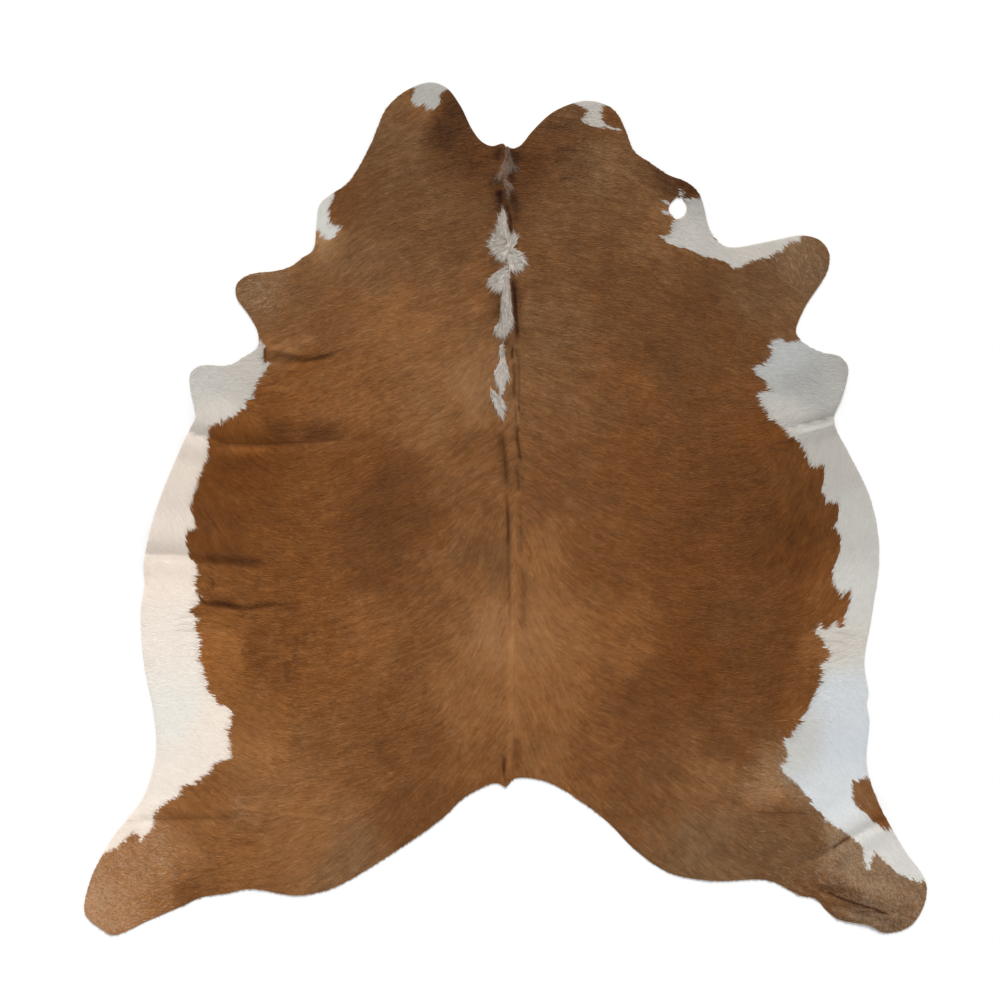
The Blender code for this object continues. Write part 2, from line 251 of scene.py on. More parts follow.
TUFTS = tuple(Tuft(*row) for row in (
    ("neck wisp", (7, 948), 0.24, 0.78,
     ((-4, 940), (7, 935), (12, 925), (17, 912), (20, 901), (27, 891), (35, 883), (40, 878), (27, 878),
      (14, 878), (7, 870), (4, 860), (-4, 852), (-14, 852), (-27, 852), (-35, 849), (-27, 860), (-19, 873),
      (-14, 886), (-6, 899), (-1, 912), (-4, 927))),
    ("neck thread", (-14, 865), 0.5, 0.78,
     ((-14, 857), (-1, 855), (7, 849), (12, 844), (20, 839), (22, 831), (14, 826), (12, 818), (9, 805),
      (4, 797), (1, 810), (4, 823), (7, 831), (-1, 839), (-6, 847))),
    ("withers tuft, left", (7, 691), 0.49, 0.12,
     ((-6, 782), (-12, 766), (-17, 751), (-22, 732), (-27, 719), (-32, 709), (-40, 696), (-43, 683),
      (-38, 673), (-30, 662), (-22, 649), (-12, 641), (-4, 644), (7, 657), (12, 678), (9, 704), (7, 730),
      (4, 753), (-1, 771))),
    ("withers tuft, right", (7, 665), 0.56, 0.08,
     ((9, 725), (20, 712), (33, 706), (30, 691), (22, 678), (35, 670), (46, 657), (51, 641), (46, 626),
      (33, 618), (20, 613), (9, 621), (7, 641), (1, 673), (4, 699))),
    ("withers tuft, low", (14, 628), 0.47, 0.1,
     ((7, 649), (-4, 631), (-17, 618), (-30, 610), (-40, 602), (-43, 587), (-38, 576), (-30, 569),
      (-19, 563), (-9, 569), (4, 579), (12, 597), (14, 615))),
    ("back tuft", (7, 641), 0.4, 0.12,
     ((-4, 615), (-6, 584), (-9, 563), (-12, 543), (-12, 517), (-12, 496), (-17, 483), (-27, 470),
      (-32, 457), (-22, 449), (-9, 444), (4, 452), (12, 467), (22, 475), (25, 483), (17, 501), (17, 524),
      (14, 548), (12, 569), (12, 595), (7, 615))),
    ("lower back tuft", (-1, 444), 0.5, 0.12,
     ((-12, 431), (-14, 420), (-17, 405), (-14, 387), (-17, 374), (-25, 366), (-30, 358), (-27, 342),
      (-25, 329), (-17, 316), (-14, 306), (-12, 293), (-4, 301), (-1, 314), (1, 327), (14, 342), (7, 353),
      (7, 366), (4, 379), (-1, 394), (-4, 413), (-6, 426))),
    ("lowest back tuft", (-45, 329), 0.53, 0.15,
     ((-35, 311), (-25, 301), (-14, 293), (-6, 285), (-1, 272), (-1, 259), (-4, 244), (-6, 231), (-14, 241),
      (-22, 254), (-30, 264), (-35, 280), (-38, 296))),
))

# Tones here and in WHITE_PLACES are the coat's own, with painted light: paler towards the lower left, darker
# towards the top right.
BROWN_PLACES = tuple(Place(*row) for row in (
    ("notch, left", -66, 927, 185, 0.25, 0.8), ("left lobe, inner", -131, 1024, 200, 0.05, 0.82),
    ("left lobe, tip", -204, 1031, 232, 0.68, 0.6), ("left lobe, outer", -287, 985, 215, 0.5, 0.5),
    ("left lobe, base", -274, 881, 205, 0.5, 0.55), ("neck, left", -170, 790, 190, 0.52, 0.56),
    ("neck, left low", -144, 673, 200, 0.5, 0.6), ("throat, left", -352, 777, 205, 0.48, 0.58),
    ("left cheek", -417, 777, 215, 0.42, 0.75), ("left cheek, low", -417, 673, 225, 0.55, 0.5),
    ("left foreleg", -633, 569, 201, 0.68, 0.42, 0.25), ("left foreleg, root", -508, 569, 201, 0.58, 0.6),
    ("left shoulder", -456, 504, 205, 0.56, 0.68), ("left armpit", -560, 426, 213, 0.62, 0.62),
    ("under left armpit", -534, 335, 210, 0.57, 0.85), ("withers, left", -79, 569, 205, 0.6, 0.64),
    ("back, left high", -274, 465, 201, 0.7, 0.67), ("back, left", -196, 283, 209, 0.68, 0.6),
    ("ribs, left", -430, 283, 205, 0.6, 0.78), ("ribs, left outer", -612, 270, 192, 0.52, 0.9),
    ("left flap fold", -690, 205, 110, 0.46, 0.95), ("left flank, high", -690, 88, 150, 0.38, 1),
    ("left flank", -755, -29, 120, 0.36, 0.93), ("left flank, mid", -612, -55, 170, 0.48, 0.9),
    ("ribs, left mid", -430, 101, 207, 0.5, 0.86), ("mottle, left", -313, 10, 210, 0.33, 0.86),
    ("mottle, left low", -300, -133, 213, 0.4, 0.82), ("back, mid left", -92, 127, 218, 0.57, 0.68),
    ("beside spine, left", -30, -133, 258, 0.5, 0.63), ("back, left low", -170, -237, 214, 0.5, 0.72),
    ("whorl, left", -534, -237, 189, 0.53, 0.88), ("left belly edge", -755, -237, 165, 0.54, 0.85),
    ("left belly edge, low", -755, -367, 172, 0.78, 0.85), ("flank, left low", -612, -393, 180, 0.5, 0.85),
    ("rump, left outer", -456, -419, 195, 0.58, 0.85), ("rump, left", -274, -367, 203, 0.53, 0.75),
    ("beside tail, left", -66, -497, 240, 0.68, 0.68), ("left thigh", -638, -549, 150, 0.65, 0.8),
    ("left thigh, inner", -482, -627, 195, 0.6, 0.72), ("buttock, left", -274, -601, 199, 0.5, 0.76),
    ("tail root, left", -66, -679, 235, 0.55, 0.75), ("left thigh, low", -534, -757, 195, 0.72, 0.69),
    ("left hock", -742, -757, 145, 0.6, 0.78), ("left leg fold", -820, -809, 125, 0.65, 0.75),
    ("left leg", -716, -887, 190, 0.66, 0.76), ("left leg, back", -430, -913, 225, 0.64, 0.46),
    ("buttock, left low", -222, -809, 232, 0.45, 0.75), ("left toe", -976, -939, 150, 0.88, 0.6, 0.35),
    ("left toe, end", -1028, -1030, 190, 0.95, 0.62, 0.5),
    ("left toe, back", -885, -1004, 200, 0.8, 0.7, 0.2), ("notch, right", 43, 912, -5, 0.2, 0.85),
    ("right lobe, inner", 142, 959, -10, 0.36, 0.7), ("right lobe", 194, 894, -10, 0.42, 0.5),
    ("right lobe, outer", 298, 881, -20, 0.6, 0.5), ("right lobe, tip", 277, 1024, -20, 0.45, 0.75),
    ("neck, right", 142, 790, -5, 0.5, 0.56), ("neck, right outer", 324, 777, -15, 0.52, 0.55),
    ("right cheek", 480, 834, -25, 0.12, 0.95), ("right cheek, low", 389, 738, -15, 0.54, 0.68),
    ("withers, right", 90, 647, -8, 0.53, 0.62), ("shoulder, right high", 298, 621, -15, 0.45, 0.66),
    ("right shoulder", 350, 517, -17, 0.44, 0.7), ("right shoulder, outer", 506, 517, -23, 0.38, 0.68),
    ("right foreleg, root", 662, 543, -29, 0.5, 0.45), ("right foreleg", 766, 634, -55, 0.6, 0.33, 0.25),
    ("right armpit", 727, 478, -36, 0.55, 0.5), ("behind right shoulder", 584, 413, -21, 0.44, 0.75),
    ("back, right high", 116, 465, -17, 0.58, 0.52), ("back, right", 142, 283, -24, 0.57, 0.62),
    ("ribs, right", 350, 335, -17, 0.55, 0.78), ("ribs, right outer", 584, 283, -9, 0.43, 0.8),
    ("above right flank", 688, 205, 10, 0.44, 0.9), ("right flank, high", 740, 114, 60, 0.36, 0.85),
    ("right flank edge", 831, 23, 82, 0.3, 0.85), ("ribs, right mid", 350, 101, -19, 0.46, 0.83),
    ("back, mid right", 142, 75, -30, 0.52, 0.72), ("flank, right", 610, 49, 5, 0.33, 0.88),
    ("right flank", 766, -94, 60, 0.24, 0.97), ("beside spine, right", 77, -133, -72, 0.66, 0.68),
    ("back, right low", 246, -159, -27, 0.48, 0.8), ("flank, right mid", 506, -133, -9, 0.38, 0.9),
    ("right belly edge", 857, -224, 62, 0.5, 0.85), ("right belly edge, low", 826, -367, 5, 0.66, 0.74),
    ("whorl, right", 610, -315, -7, 0.4, 0.8), ("rump, right", 298, -341, -29, 0.62, 0.78),
    ("rump, right outer", 506, -419, -18, 0.34, 0.95), ("rump, right low", 350, -497, -25, 0.42, 0.8),
    ("beside tail, right", 103, -497, -68, 0.68, 0.7), ("right thigh, edge", 768, -513, 35, 0.54, 0.82),
    ("right thigh", 584, -575, -9, 0.46, 0.75), ("buttock, right", 246, -601, -30, 0.52, 0.75),
    ("right thigh, low", 714, -731, 10, 0.92, 0.5, 0.2), ("buttock, right low", 376, -731, -42, 0.48, 0.7),
    ("right leg, back", 506, -887, -40, 0.6, 0.37), ("right leg", 688, -861, -20, 0.55, 0.42, 0.1),
    ("right hock", 870, -887, -35, 0.74, 0.35, 0.5), ("right toe", 974, -978, -50, 0.68, 0.3, 0.6),
    ("right toe, end", 1039, -1030, -70, 0.58, 0.4, 0.4),
    ("right toe, back", 844, -1004, -20, 0.5, 0.6, 0.1), ("right lobe, crown", 168, 1000, -10, 0.42, 0.5),
    ("beside spine, left high", -62, 310, 240, 0.73, 0.5),
    ("beside spine, left low", -40, -320, 250, 0.82, 0.54),
    ("beside spine, right low", 66, -325, -65, 0.78, 0.6),
    ("back, right of the tail", 168, -335, -33, 0.7, 0.7),
    ("left thigh, pale", -650, -632, 155, 0.82, 0.68), ("left leg, pale", -865, -880, 175, 0.86, 0.6),
    ("left leg, inner", -530, -862, 215, 0.72, 0.68), ("right thigh, inner", 520, -735, -35, 0.64, 0.58),
    ("rump, left pale", -330, -330, 201, 0.64, 0.78), ("tail root, right", 70, -640, -70, 0.62, 0.68),
    ("left lobe, inner low", -152, 964, 195, 0.12, 0.75), ("left lobe, pale", -261, 990, 215, 0.62, 0.45),
    ("left lobe, pale low", -243, 927, 205, 0.6, 0.42), ("right lobe, pale", 246, 894, -15, 0.68, 0.38),
    ("right cheek, inner", 423, 844, -25, 0.14, 0.6), ("right cheek, pale", 381, 795, -20, 0.6, 0.5),
    ("right leg, frosted", 745, -705, -50, 0.7, 0.2, 0.4),
    ("right hock, border", 865, -843, -50, 0.82, 0.25, 0.5),
    ("right hock, pale", 917, -919, -45, 0.84, 0.2, 0.6),
    ("right toe, middle", 883, -981, -30, 0.48, 0.5, 0.3),
    ("right toe, under", 987, -1075, -40, 0.58, 0.3, 0.4), ("right leg, dark", 787, -856, -30, 0.48, 0.48),
    ("left leg, frosted", -903, -877, 160, 0.88, 0.55, 0.6),
    ("left toe, pale", -1023, -965, 150, 0.9, 0.6, 0.5),
    ("left toe, ridge", -937, -945, 165, 0.88, 0.62, 0.4),
    ("left leg, light", -690, -778, 150, 0.68, 0.6, 0.2), ("left leg, dull", -628, -757, 200, 0.74, 0.62),
    ("left toe, shadow", -846, -1004, 200, 0.48, 0.75), ("left toe, rim", -1072, -1012, 170, 1.0, 0.6, 1.0),
    ("back, left of the tail", -139, -237, 222, 0.62, 0.7),
    ("shoulder, right dark", 402, 381, -17, 0.34, 0.68),
    ("right cheek, beside the hole", 404, 769, -25, 0.7, 0.5),
    ("right cheek, below the hole", 381, 719, -25, 0.58, 0.55),
    ("left cheek, pale", -456, 691, 225, 1.0, 0.4), ("right belly, spike", 865, -253, 50, 0.55, 0.8),
    ("brown island", 930, -747, -50, 0.6, 0.55), ("brown island, tip", 984, -812, -50, 0.5, 0.85),
    ("right toe, crown", 1057, -989, -50, 0.7, 0.3, 0.4),
    ("left toe, worn", -1054, -999, 160, 1.0, 0.4, 0.9), ("flank, right outer", 719, -341, 5, 0.35, 0.88),
    ("flank, right outer low", 709, -471, 20, 0.36, 0.85),
    ("right leg, dark high", 727, -791, -30, 0.47, 0.6),
    ("back, left of the spine", -144, -217, 222, 0.68, 0.66),
))

WHITE_PLACES = tuple(Place(*row) for row in (
    ("left lobe tip", -204, 1076, 225, 0.35, 0.55), ("left cheek", -469, 764, 240, 0.62, 0.5),
    ("left flap tip", -781, 322, 170, 0.53, 0.6), ("left flap", -690, 348, 200, 0.5, 0.72),
    ("left flap, low", -755, 244, 115, 0.56, 0.8), ("left belly, high", -820, 127, 115, 0.75, 1),
    ("left belly", -885, -55, 105, 0.69, 0.95), ("left belly, mid", -872, -185, 140, 0.92, 1),
    ("left belly, strands", -859, -302, 180, 0.93, 0.82), ("left belly, low", -857, -539, 200, 0.92, 0.6),
    ("left thigh, edge", -781, -601, 160, 0.93, 0.86), ("left leg", -898, -731, 150, 0.92, 0.85),
    ("left leg, end", -989, -861, 140, 0.95, 1), ("right lobe", 246, 1024, -20, 0.42, 0.75),
    ("right cheek", 480, 712, -30, 0.49, 0.62), ("right foreleg, front", 636, 673, -30, 0.5, 0.7),
    ("right flap tip", 857, 361, -20, 0.33, 0.56), ("right flap", 766, 335, -20, 0.28, 0.44),
    ("right flap, low", 724, 231, 30, 0.5, 0.62), ("right belly, high", 857, 140, 80, 0.38, 0.66),
    ("right belly", 922, -55, 85, 0.46, 0.53), ("right belly, low", 909, -237, 60, 0.58, 0.5),
    ("right belly, strands", 870, -341, 5, 0.6, 0.72), ("right thigh", 883, -497, -40, 0.7, 0.1),
    ("right thigh, edge", 766, -596, -50, 0.54, 0.45), ("right leg", 857, -731, -60, 0.73, 0.15),
    ("right leg, end", 974, -874, -60, 0.68, 0.5), ("spine, left", -19, 673, 205, 0.45, 0.75),
    ("spine, right", 22, 673, -15, 0.45, 0.75), ("right flap, blue", 738, 390, -20, 0.44, 0.3),
    ("left thigh, cream", -750, -562, 160, 0.92, 0.95), ("right thigh, blue", 875, -614, -60, 0.68, 0),
    ("right cheek, high", 495, 787, -30, 0.34, 0.6),
))

# Most strokes are painted shade, with painted light on the pale ones beside them: the sides of the creases,
# and the wisp, where the dark is partly rust hair too. The lobes' blotches and streaks and the belly strands
# are
# the coat's own colour.
# the grooves of the spine and the pale welt between them, the partings, and the hollows and gaps about the
# tufts
STROKES = tuple(Stroke(*row) for row in (
    ("tail line", ((1, -640), (-4, -679), (-1, -718)), 4, 0.5),
    ("spine strip", ((22, 75), (22, -133), (14, -367), (12, -627)), 8, -0.28),
    ("armpit line", ((-620, 405), (-586, 400), (-545, 392), (-503, 389), (-467, 397), (-435, 410)), 7, 0.55),
    ("armpit corner", ((-623, 423), (-625, 402), (-623, 381)), 3, 0.9),
    ("flap line", ((-768, 171), (-664, 166), (-560, 171), (-443, 176)), 5, 0.5),
    ("flap light", ((-773, 153), (-698, 150), (-599, 155)), 10, -0.35),
    ("flap shade", ((-633, 202), (-534, 210), (-404, 199)), 26, 0.42),
    ("flank line on white", ((-935, -120), (-872, -123), (-805, -133)), 5, 0.12),
    ("belly line",
     ((-789, -243), (-727, -248), (-669, -261), (-620, -248), (-552, -256), (-526, -237)), 9, 0.5),
    ("pucker", ((-766, -175), (-760, -193), (-763, -211)), 3, 0.6),
    ("flank furrow, upper", ((-542, -326), (-547, -404)), 7, 0.36),
    ("flank furrow, lower", ((-565, -393), (-568, -458)), 7, 0.33),
    ("flank furrow, right", ((-519, -310), (-526, -367)), 7, 0.26),
    ("left leg line", ((-924, -804), (-857, -804), (-781, -804), (-701, -799)), 5, 0.22),
    ("left thigh line", ((-586, -791), (-469, -802)), 4, -0.12),
    ("right flap shade", ((761, 218), (807, 228), (854, 241)), 9, 0.2),
    ("right flap light", ((761, 199), (807, 210), (854, 223)), 6, -0.2),
    ("right flap streak", ((667, 166), (714, 153), (753, 168)), 6, 0.3),
    ("right rump line", ((623, -789), (714, -789), (823, -794)), 4, 0.3),
    ("right hock line", ((898, -851), (883, -859), (865, -872), (844, -885)), 4, 0.9),
    ("notch, left of the wisp", ((-12, 940), (-19, 922), (-27, 904)), 13, 0.7),
    ("notch, right of the wisp", ((22, 933), (27, 912), (35, 894)), 12, 0.6),
    ("wisp, dark hollow", ((12, 875), (17, 860), (20, 844)), 9, 0.75),
    ("wisp, dark foot", ((-4, 847), (-17, 844), (-27, 842)), 5, 0.5),
    ("below the wisp, left", ((-14, 836), (-12, 813), (-14, 787)), 12, 0.42),
    ("below the wisp, right", ((22, 836), (17, 813), (14, 787)), 11, 0.42),
    ("parting at the neck", ((-1, 800), (7, 774), (12, 748), (14, 722), (20, 701)), 6, 0.9),
    ("beside the parting", ((-14, 834), (-14, 803), (-17, 771)), 13, 0.6),
    ("gap in the tuft", ((25, 680), (35, 680)), 4, 0.4),
    ("parting at the withers",
     ((14, 615), (20, 582), (22, 556), (25, 530), (27, 496), (30, 459), (30, 423)), 6.5, 0.82),
    ("rust beside the parting", ((27, 605), (33, 569), (38, 532)), 15, 0.3),
    ("rust beside the tuft, left", ((-17, 563), (-17, 537), (-17, 511), (-19, 491)), 8, 0.35),
    ("rust beside the tuft, high", ((-30, 787), (-22, 766)), 14, 0.2),
    ("rust beside the tuft, middle", ((-43, 647), (-27, 636), (-14, 628)), 8, 0.3),
    ("rust below the tuft", ((-17, 439), (-4, 433), (9, 431)), 9, 0.35),
    ("parting, dark thread", ((20, 423), (17, 405), (17, 384)), 3, 0.55),
    ("parting, pale thread", ((25, 433), (22, 413), (25, 384)), 2.6, -0.4),
    ("parting, thread beside", ((30, 418), (30, 392)), 3, 0.4),
    ("parting on the back", ((20, 387), (22, 335), (22, 277)), 5.5, 0.6),
    ("pale thread, low", ((30, 285), (30, 262), (33, 241), (33, 218)), 2.6, -0.55),
    ("dark thread", ((33, 270), (35, 251)), 3, 0.6),
    ("dark thread, low", ((25, 283), (27, 251), (27, 220)), 3, 0.35),
    ("left line of the spine", ((-12, 210), (-9, 173), (-4, 137), (1, 101), (4, 49)), 10, 0.55),
    ("left line of the spine, low",
     ((4, 49), (7, -16), (7, -107), (9, -198), (12, -276), (12, -367)), 6.5, 0.42),
    ("right line of the spine", ((33, 220), (30, 189), (35, 158), (38, 132), (40, 114)), 5, 0.85),
    ("right line of the spine, low", ((38, 36), (40, -55), (43, -133)), 6, 0.35),
    ("tail, pale", ((12, -588), (12, -640), (9, -685)), 6, -0.25),
    ("right lobe, dark streak", ((105, 992), (142, 990), (178, 1000)), 9, 0.35),
    ("right lobe, dark blotch", ((126, 933), (157, 935), (189, 930)), 8, 0.45),
    ("right lobe, dark blotch low", ((124, 896), (147, 907), (170, 917)), 10, 0.4),
    ("right lobe, dark blotch lowest", ((139, 852), (160, 860), (183, 865)), 8, 0.4),
    ("right lobe, pale streak", ((116, 1026), (155, 1021), (191, 1018)), 4, -0.3),
    ("right lobe, pale streak low", ((87, 943), (116, 940), (137, 935)), 4, -0.3),
    ("right lobe, pale spot", ((118, 870), (142, 862)), 4, -0.35),
    ("left lobe, edge of the dark", ((-186, 1031), (-178, 1000), (-170, 966)), 8, 0.15),
    ("armpit line, thin", ((-508, 389), (-467, 400), (-409, 418)), 3, 0.35),
    ("armpit light", ((-617, 420), (-578, 418), (-534, 407)), 6, -0.25),
    ("armpit light, low", ((-586, 368), (-534, 368), (-482, 381)), 6, -0.15),
    ("below the armpit, pale", ((-638, 306), (-599, 314), (-555, 306)), 6, -0.22),
    ("right toe line, upper", ((797, -973), (857, -986), (917, -999)), 3, 0.45),
    ("right toe line",
     ((802, -986), (839, -997), (872, -1012), (904, -1023), (937, -1033), (969, -1043), (1005, -1056)),
     4.2, 1),
    ("right toe line, lower", ((901, -1049), (937, -1046), (974, -1049), (1005, -1056)), 3, 0.65),
    ("right toe line, lowest", ((865, -1020), (911, -1033), (953, -1041)), 4, 0.4),
    ("left leg light", ((-737, -778), (-690, -776), (-633, -781)), 5, -0.2),
    ("flap line, right end", ((-547, 189), (-482, 184), (-399, 176)), 5, 0.25),
    ("flank shade", ((-805, -128), (-716, -133), (-617, -146)), 14, 0.5),
    ("beside the parting, right", ((20, 823), (27, 782), (27, 735)), 14, 0.6),
    ("rust below the back tuft", ((1, 444), (9, 423), (12, 387)), 14, 0.3),
    ("dark beside the parting", ((7, 329), (14, 309), (9, 277)), 13, 0.35),
    ("right line of the spine, middle", ((30, 111), (33, 75), (35, 41)), 4, 0.5),
    ("right line of the spine, spot", ((43, 95), (46, 64)), 4, 0.4),
    ("right of the spine, band", ((46, -139), (48, -211), (46, -276), (51, -321)), 9, 0.3),
    ("right belly strand, high", ((849, -318), (875, -321), (901, -326)), 2.2, 0.16),
    ("right belly strand, middle", ((839, -341), (870, -344), (896, -352)), 2.2, 0.13),
    ("right belly strand, low", ((844, -373), (870, -367)), 2.2, 0.14),
    ("right belly strand, lower", ((841, -396), (865, -386), (883, -378)), 2.2, 0.16),
    ("right belly strand, lowest", ((828, -414), (854, -409)), 2.2, 0.14),
    ("left belly strand, high", ((-807, -276), (-831, -279), (-854, -284)), 1.8, 0.22),
    ("left belly strand, middle", ((-805, -300), (-828, -297), (-851, -300)), 1.8, 0.2),
    ("left belly strand, low", ((-805, -315), (-831, -315), (-857, -313)), 1.8, 0.24),
    ("left belly strand, lower", ((-797, -357), (-812, -352)), 1.8, 0.2),
    ("left belly strand, lowest", ((-794, -388), (-815, -378)), 1.8, 0.2),
    ("pucker, foot", ((-807, -211), (-799, -224), (-789, -237), (-773, -248)), 4, 0.7),
    ("pucker, light", ((-789, -191), (-781, -206)), 10, -0.45),
    ("flank shade, low", ((-786, -243), (-737, -245), (-690, -253)), 13, 0.32),
    ("left of the wisp, low", ((-30, 886), (-30, 842), (-25, 803)), 14, 0.3),
    ("right hock line, low", ((844, -885), (818, -900), (787, -916)), 6.5, 0.4),
    ("right toe fold", ((1018, -1054), (1026, -1069), (1026, -1088)), 4, 0.5),
    ("parting at the withers, shade", ((22, 605), (27, 556), (33, 491), (35, 426)), 11, 0.3),
    ("parting on the back, right", ((35, 413), (35, 361), (35, 296), (33, 244)), 5, 0.5),
    ("left line of the spine, core", ((-6, 205), (-1, 137), (1, 88), (4, 43)), 5, 0.25),
    ("tail shade", ((27, -588), (30, -640), (33, -687)), 11, 0.35),
    ("tail shade, left", ((-9, -633), (-6, -659), (-4, -690)), 6, 0.5),
    ("rust left of the back tuft", ((-32, 563), (-27, 522), (-30, 475)), 16, 0.3),
    ("left line of the spine, middle", ((1, 54), (4, 10), (7, -55), (7, -107)), 6.5, 0.4),
    ("parting on the back, top", ((20, 431), (20, 407), (20, 387)), 5, 0.35),
    ("right flap line", ((701, 176), (727, 171), (755, 184)), 4.5, 0.5),
))


def smooth_line(landmarks: tuple, step: float, closed: bool) -> Array:
    """Points on a centripetal Catmull-Rom curve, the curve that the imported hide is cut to.

    Between two landmarks a point is a blend of straight blends, each weighted by the square root of the
    distance between its landmarks. An open line gets a mirrored landmark beyond each end.

    Args:
        landmarks: The points that the curve passes through.
        step: Greatest distance between the points returned, about.
        closed: Whether the curve returns to its first landmark.

    Returns:
        The points, one a row.
    """
    knots = np.array(landmarks, dtype=float)
    if closed:
        around = np.vstack([knots[-1:], knots, knots[:2]])
    else:
        around = np.vstack([2 * knots[0] - knots[1], knots, 2 * knots[-1] - knots[-2]])
    runs = []
    for before, start, end, after in zip(around, around[1:], around[2:], around[3:]):
        spans = [math.sqrt(math.dist(a, b)) for a, b in ((before, start), (start, end), (end, after))]
        t0, t1, t2, t3 = 0.0, spans[0], spans[0] + spans[1], sum(spans)
        count = max(2, math.ceil(math.dist(start, end) / step))
        t = np.linspace(t1, t2, count, endpoint=False)[:, None]
        a1 = before + (start - before) * (t - t0) / (t1 - t0)
        a2 = start + (end - start) * (t - t1) / (t2 - t1)
        a3 = end + (after - end) * (t - t2) / (t3 - t2)
        b1 = a1 + (a2 - a1) * (t - t0) / (t2 - t0)
        b2 = a2 + (a3 - a2) * (t - t1) / (t3 - t1)
        runs.append(b1 + (b2 - b1) * (t - t1) / (t2 - t1))
    if not closed:
        runs.append(knots[-1:])
    return np.vstack(runs)


def in_batches(work: Callable[[Array], Array], points: Array, batch: int = 6000) -> Array:
    """Runs `work` on a batch of the points at a time, to spare memory, and stacks what it returns."""
    return np.concatenate([work(points[first:first + batch]) for first in range(0, len(points), batch)])


def nearest_on_line(points: Array, line: Array, closed: bool) -> Array:
    """The nearest place on a line of straight runs, for each point.

    The share of each run at which the point's foot falls is the dot product of the run and the point's
    offset over the run's squared length, held between 0 and 1. The side is the sign of their cross product.

    Args:
        points: One a row.
        line: The line's points.
        closed: Whether the line's last point runs on to its first.

    Returns:
        A row a point: distance, side (1 left, -1 right), length along the line, and the place's x and y.
    """
    ends = np.roll(line, -1, axis=0) if closed else line[1:]
    starts = line if closed else line[:-1]
    runs = ends - starts
    lengths = np.hypot(runs[:, 0], runs[:, 1])
    before = np.concatenate([[0.0], np.cumsum(lengths)])

    def work(some: Array) -> Array:
        """Does one batch.

        Args:
            some: Its points.

        Returns:
            What is asked of each.
        """
        offset = some[:, None, :] - starts[None, :, :]
        share = np.clip((offset * runs).sum(axis=2) / lengths**2, 0.0, 1.0)
        gap = offset - share[:, :, None] * runs
        distance = np.hypot(gap[:, :, 0], gap[:, :, 1])
        pick = distance.argmin(axis=1)
        row = np.arange(len(some))
        cross = runs[pick, 0] * offset[row, pick, 1] - runs[pick, 1] * offset[row, pick, 0]
        along = before[pick] + share[row, pick] * lengths[pick]
        place = some - gap[row, pick]
        return np.column_stack([distance[row, pick], np.where(cross < 0.0, -1.0, 1.0), along, place])

    return in_batches(work, points)


def inside(points: Array, loop: Array) -> Array:
    """Whether each point lies within a loop: a ray from it along +X crosses an odd number of edges.

    Args:
        points: One a row.
        loop: The points of the closed loop.

    Returns:
        True for each point within.
    """
    low, high = loop.min(axis=0), loop.max(axis=0)
    within = ((points >= low) & (points <= high)).all(axis=1)
    x1, y1 = loop[:, 0], loop[:, 1]
    x2, y2 = np.roll(x1, -1), np.roll(y1, -1)
    rise = np.where(y2 == y1, 1.0, y2 - y1)

    def work(some: Array) -> Array:
        """Does one batch.

        Args:
            some: Its points.

        Returns:
            What is asked of each.
        """
        x, y = some[:, :1], some[:, 1:]
        straddles = (y1 > y) != (y2 > y)
        crossing = x1 + (y - y1) * (x2 - x1) / rise
        return (straddles & (x < crossing)).sum(axis=1) % 2 == 1

    answer = np.zeros(len(points), dtype=bool)
    if within.any():
        answer[within] = in_batches(work, points[within])
    return answer


def eased(share: Array) -> Array:
    """0 to 1 with a level start and end: three times the square less twice the cube."""
    part = np.clip(share, 0.0, 1.0)
    return part * part * (3.0 - 2.0 * part)


def line_length(line: Array) -> float:
    """Length of a line of points."""
    return float(np.hypot(*np.diff(line, axis=0).T).sum())


def near_line(points: Array, line: Array, reach: float) -> Array:
    """Whether each point is in the line's box, widened by the reach."""
    return ((points > line.min(axis=0) - reach) & (points < line.max(axis=0) + reach)).all(axis=1)


def area_within(loop: Array) -> float:
    """Area within a closed loop: half the sum of the cross products of each point with the next."""
    x, y = loop.T
    return float(abs(np.sum(x * np.roll(y, -1) - y * np.roll(x, -1))) / 2)


@dataclass
class FieldMap:
    """Values on a square grid over the hide, blended in straight lines between its points."""

    values: Array
    low: Array
    step: float

    @classmethod
    def filled(cls, low: Array, high: Array, step: float,
               function: Callable[[Array], Array]) -> "FieldMap":
        """A map of a function of place.

        Args:
            low: Lowest corner of the box that it covers.
            high: Highest corner.
            step: Distance between the grid's points.
            function: Takes points, one a row, and returns a value or a row of values for each.

        Returns:
            The map.
        """
        columns = np.arange(low[0], high[0] + step, step)
        rows = np.arange(low[1], high[1] + step, step)
        grid = np.stack(np.meshgrid(columns, rows), axis=-1)
        values = np.asarray(function(grid.reshape(-1, 2)))
        return cls(values.reshape(len(rows), len(columns), -1), np.array(low, dtype=float), step)

    def at(self, points: Array) -> Array:
        """Reads the map: each value is the blend of the four grid points about the place.

        Args:
            points: Where to read it, one a row. Outside the map it is read at its border.

        Returns:
            A row for each point, or one number where the map holds one.
        """
        rows, columns, width = self.values.shape
        place = np.clip((points - self.low) / self.step, 0.0, (columns - 1.001, rows - 1.001))
        cell = place.astype(int)
        u, v = (place - cell).T[:, :, None]
        i, j = cell.T
        lower = self.values[j, i] * (1 - u) + self.values[j, i + 1] * u
        upper = self.values[j + 1, i] * (1 - u) + self.values[j + 1, i + 1] * u
        found = lower * (1 - v) + upper * v
        return found[:, 0] if width == 1 else found


